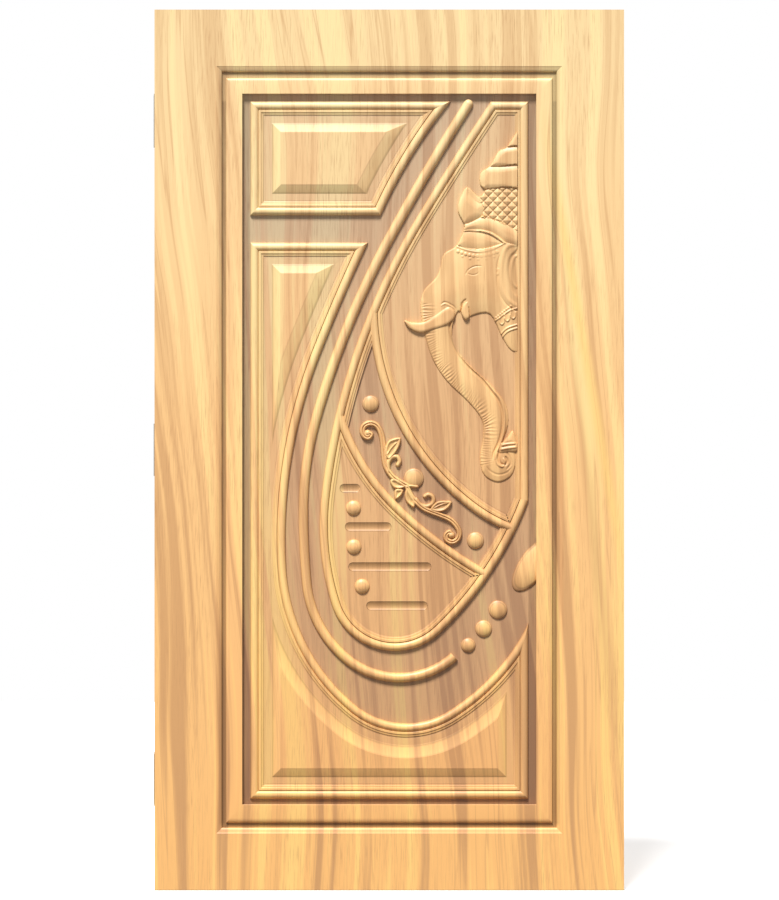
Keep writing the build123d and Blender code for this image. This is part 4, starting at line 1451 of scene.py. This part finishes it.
@dataclass(frozen=True)
class WoodFinish:
    """Clear-finished light wood with an upright grain that runs on from piece to piece, with painted shade in
    its hollows and a top painted paler as light from above.
    """

    # upper, middle and lower are the tone at the top, the middle and the foot: the paler top is painted light
    # from above. pale is the yellow streaks' tone high up, paler for the same painted light
    upper: tuple = linear(249, 216, 160)
    middle: tuple = linear(247, 197, 134)
    lower: tuple = linear(246, 188, 117)
    yellow: tuple = linear(255, 211, 128)
    pale: tuple = linear(255, 230, 168)
    brown: tuple = linear(203, 152, 101)
    fibre: tuple = linear(190, 138, 92)
    roughness: float = 0.42
    # Painted shade by height over the leaf's middle: deep ground, the groove level and the steps' feet darker
    # and greyer, the raised faces nearly as they are
    cavity_shade_stops: tuple = (
        (0.071, (0.635, 0.63, 0.79)),
        (0.103, (0.5, 0.455, 0.47)),
        (0.257, (0.66, 0.615, 0.61)),
        (0.393, (0.83, 0.8, 0.88)),
        (0.429, (0.64, 0.62, 0.6)),
        (0.514, (0.92, 0.9, 0.88)),
        (0.821, (1.0, 1.0, 1.0)),
        (0.964, (1.0, 0.965, 0.95)),
    )

    def made(self, name: str) -> bpy.types.Material:
        """Make the material.

        Args:
            name: Its name.

        Returns:
            The material.
        """
        tree = Tree(bpy.data.materials.new(name))
        x, y, z = tree.place()
        fine = tree.noise(x * 430.0, y * 60.0, z * 17.0, 3.0, 0.6)
        colour = self.with_painted_shade(tree, self.grained(tree, x, y, z, fine), x, y, z)
        height = fine * 0.00007
        return tree.finish(
            colour, self.roughness + (fine - 0.5) * 0.2, height, Specular_IOR_Level=0.5
        )

    def grained(self, tree: Tree, x: Value, y: Value, z: Value, fine: Value) -> Value:
        """Colour of the plain wood: wandering bands, a few dark veins, and fine fibres, over a tone that gets
        paler upwards as painted light from above.

        The bands follow u = x + 0.05 z + 0.15 (n - 0.5), with n a slow noise over the leaf.

        Args:
            tree: Tree of the material.
            x: Place across.
            y: Place through.
            z: Place up.
            fine: Noise of the fibres.

        Returns:
            The colour.
        """
        warp = tree.noise(x * 1.7, y * 0.6, z * 0.75, 1.5) - 0.5
        slant = x + z * 0.06 + warp * 0.22
        broad = tree.noise(slant * 9.0 + 3.7, y * 1.5, z * 0.35, 2.0, 0.5)
        streak = tree.noise(slant * 31.0, y * 2.0, z * 0.6, 2.0, 0.5)
        thin = tree.noise(slant * 90.0, y * 4.0, z * 1.3, 2.0, 0.5)
        patch = tree.noise(x * 7.0, y * 2.0, z * 1.6, 2.0)
        # Painted light: the base colour and the yellow streaks get paler upwards
        low = tree.mixed(z.share(0.1, 1.05), self.lower, self.middle)
        base = tree.mixed(z.share(1.1, 2.0), low, self.upper)
        tone = broad * 0.4 + streak * 0.43 + thin * 0.17
        yellow = tree.mixed(z.share(0.5, 1.7), self.yellow, self.pale)
        light = tree.mixed(tone.share(0.51, 0.57) * 0.8, base, yellow)
        brown = tree.mixed(tone.share(0.485, 0.42) * z.share(3.4, 0.2) * 0.9, light, self.brown)
        run = 1.2166 - z
        dark_run = self.sweep(x - run * 0.115 - 0.4456, z.share(1.3, 0.5) * 0.02 + 0.012)
        dark_run = dark_run * z.share(1.8, 1.2) * z.share(0.1, 0.5) * (tone.share(0.6, 0.4) + 0.3)
        pale_run = self.sweep(x - run * 0.178 - 0.479, 0.022) * z.share(1.9, 1.5) * z.share(0.6, 0.9)
        swept_by = tree.mixed(pale_run * 0.7, brown, self.yellow)
        brown = tree.mixed(dark_run * 0.8, swept_by, self.brown)
        vein = (streak - 0.44).size().share(0.016, 0.0) * patch.share(0.44, 0.56)
        veined = tree.mixed(vein * 0.5, brown, self.brown)
        strength = fine.share(0.5, 0.3) * patch.share(0.66, 0.42)
        return tree.mixed(strength * 0.5, veined, self.fibre)

    @staticmethod
    def sweep(away: Value, width: Value | float) -> Value:
        """One on a streak's middle line, and nought from its width on."""
        share = (away.size() / width).share(1.0, 0.0)
        return share * share * (3.0 - 2.0 * share)

    def with_painted_shade(self, tree: Tree, colour: Value, x: Value, y: Value, z: Value) -> Value:
        """Colour with painted shade: deeper ground darker and greyer, and the narrow gap inside the border
        and the foot of the frame's edge darker still, where shade falls. It also gives part of the raised
        fields a slightly darker tone.

        Args:
            tree: Tree of the material.
            colour: Colour of the plain wood.
            x: Place across.
            y: Place through.
            z: Place up.

        Returns:
            The colour.
        """
        middle, half = (FOOT + HEAD) / 2 * MILLIMETRE, (HEAD - FOOT) / 2 * MILLIMETRE
        out = (x.size() - RIGHT * MILLIMETRE).over((z - middle).size() - half)
        carved = out.share(0.0835, 0.0825) * y.share(0.0, -0.004)
        # Painted shade: the deeper the surface, the darker and greyer
        depth_shade = tree.ramp((0.0 - y).share(0.005, 0.019), self.cavity_shade_stops)
        recess_shaded = tree.mixed(carved, colour, depth_shade, Blend.DARKEN)
        # A slightly darker tone on the raised fields: all of them low down, and left of a line higher up
        limit = z.share(0.95, 0.9) * 0.4 + z.share(1.55, 1.6) * 0.08 + 0.02
        panel = (limit - x).share(0.0, 0.004) * y.share(-0.0171, -0.0176) * y.share(-0.0185, -0.0183)
        recess_shaded = tree.mixed(panel * carved, recess_shaded, (0.93, 0.9, 0.92, 1.0), Blend.DARKEN)
        # Painted shade in the narrow gap inside the border, left off along the top, where the light's own
        # shadow falls
        gap_shade = out.share(-0.002, 0.003) * y.share(-0.0125, -0.0105) * carved * z.share(1.885, 1.88)
        gap_shaded = tree.mixed(gap_shade, recess_shaded, (0.68, 0.66, 0.64, 1.0), Blend.DARKEN)
        # Painted shade along the foot of the frame's edge, left off along the bottom
        foot = out.share(0.076, 0.0685) * out.share(0.058, 0.064) * carved * z.share(0.15, 0.16)
        return tree.mixed(foot, gap_shaded, (0.74, 0.72, 0.7, 1.0), Blend.DARKEN)


@dataclass(frozen=True)
class MetalFinish:
    """Satin steel with fine upright brushing."""

    colour: tuple = linear(168, 165, 160)
    cloudy: tuple = linear(140, 136, 130)

    def made(self, name: str) -> bpy.types.Material:
        """Make the material.

        Args:
            name: Its name.

        Returns:
            The material.
        """
        tree = Tree(bpy.data.materials.new(name))
        x, y, z = tree.place()
        brush = tree.noise(x * 1500.0, y * 1500.0, z * 30.0, 3.0)
        cloud = tree.noise(x * 40.0, y * 40.0, z * 40.0, 2.0)
        colour = tree.mixed(cloud.share(0.3, 0.7) * 0.3, self.colour, self.cloudy)
        return tree.finish(colour, 0.3 + brush * 0.2, brush * 0.00003, Metallic=1.0)


@dataclass
class Members:
    """Flat members and hinges, which keep their CAD meshes."""

    wood: bpy.types.Material
    metal: bpy.types.Material
    edge: float = 0.0007

    def build(self) -> None:
        """Dress every CAD node that is still shown."""
        for name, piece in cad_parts.items():
            if piece.hide_render:
                continue
            hinge = "hinge" in name and name != "hinge_stile"
            piece.data.materials.clear()
            piece.data.materials.append(self.metal if hinge else self.wood)
            if not hinge and "stile" not in name and "rail" not in name:
                self.soften(piece)

    def soften(self, piece: bpy.types.Object) -> None:
        """Round a member's sharp edges a little.

        Args:
            piece: The member.
        """
        weld = piece.modifiers.new("weld", "WELD")
        weld.merge_threshold = 0.00001
        bevel = piece.modifiers.new("arris", "BEVEL")
        bevel.width = self.edge
        bevel.segments = 2
        bevel.limit_method = "ANGLE"
        bevel.angle_limit = radians(14)
        bevel.harden_normals = True


@dataclass
class Studio:
    """Floor, light and camera."""

    camera_height: float = 1.0495
    camera_distance: float = 8.07
    key: float = 5.1
    key_elevation: float = 57.0
    key_turn: float = -20.0
    back: float = 3.0
    softness: float = 15.0
    back_elevation: float = 42.0
    fill: float = 0.2

    def build(self) -> None:
        """Build them all."""
        self.floor()
        self.lights()
        self.world()
        self.camera()

    def floor(self) -> None:
        """Plain pale floor."""
        bpy.ops.mesh.primitive_plane_add(size=12.0, location=(0, 0, -0.001))
        floor = bpy.context.object
        floor.name = "floor"
        tree = Tree(bpy.data.materials.new("floor"))
        x, y, z = tree.place()
        seen = tree.node("ShaderNodeLightPath", output="Is Camera Ray")
        colour = tree.mixed(seen, (0.12, 0.12, 0.12, 1.0), (0.85, 0.85, 0.85, 1.0))
        height = tree.noise(x * 9.0, y * 9.0, z, 2.0) * 0.0001
        floor.data.materials.append(tree.finish(colour, 0.9, height))

    def lights(self) -> None:
        """Key light from the top front, and a weaker one from the top back, both soft."""
        self.light("key", self.key, self.key_elevation, self.key_turn)
        self.light("back", self.back, self.back_elevation, 180.0)

    def light(self, name: str, energy: float, elevation: float, turn: float) -> None:
        """One light as from a large window far away.

        Args:
            name: Its name.
            energy: Its strength.
            elevation: Degrees over the floor.
            turn: Degrees round the vertical from the camera's side.
        """
        data = bpy.data.lights.new(name, "SUN")
        data.energy = energy
        data.angle = radians(self.softness)
        light = bpy.data.objects.new(name, data)
        light.rotation_euler = (radians(90 - elevation), 0.0, radians(turn))
        bpy.context.scene.collection.objects.link(light)

    def world(self) -> None:
        """White to the camera, in mirrors and through glass, and soft and plain elsewhere."""
        world = bpy.data.worlds.new("studio")
        bpy.context.scene.world = world
        tree = Tree(world)
        kinds = ("Camera", "Glossy", "Transmission")
        seen, mirror, glass = (tree.node("ShaderNodeLightPath", output=f"Is {kind} Ray") for kind in kinds)
        soft, plain = (
            tree.node("ShaderNodeBackground", Color=(1.0, 1.0, 1.0, 1.0), Strength=strength)
            for strength in (self.fill, 1.0)
        )
        mix = tree.node("ShaderNodeMixShader", in0=seen.over(mirror).over(glass), in1=soft, in2=plain)
        tree.closed("ShaderNodeOutputWorld", mix)

    def camera(self) -> None:
        """The photograph's point of view."""
        data = bpy.data.cameras.new("camera")
        data.lens = 135.0
        data.sensor_width = 36.0
        data.sensor_height = 36.0
        data.sensor_fit = "VERTICAL"
        camera = bpy.data.objects.new("camera", data)
        camera.location = (0.0005, -self.camera_distance, self.camera_height)
        camera.rotation_euler = (pi / 2, 0.0, 0.0)
        bpy.context.scene.collection.objects.link(camera)
        bpy.context.scene.camera = camera
        bpy.context.scene.view_settings.view_transform = "Standard"


def main() -> None:
    """Build the whole scene."""
    logging.basicConfig(level=logging.INFO)
    wood = WoodFinish().made("carved_wood")
    metal = MetalFinish().made("hinge_metal")
    lines = Lines()
    Mouldings(lines, wood).build()
    Rod(lines.rod, wood).build()
    Bosses(wood).build()
    Slots(wood).build()
    Figure(wood).build()
    Scroll(wood).build()
    Members(wood, metal).build()
    Studio().build()


if __name__ == "__main__":
    main()
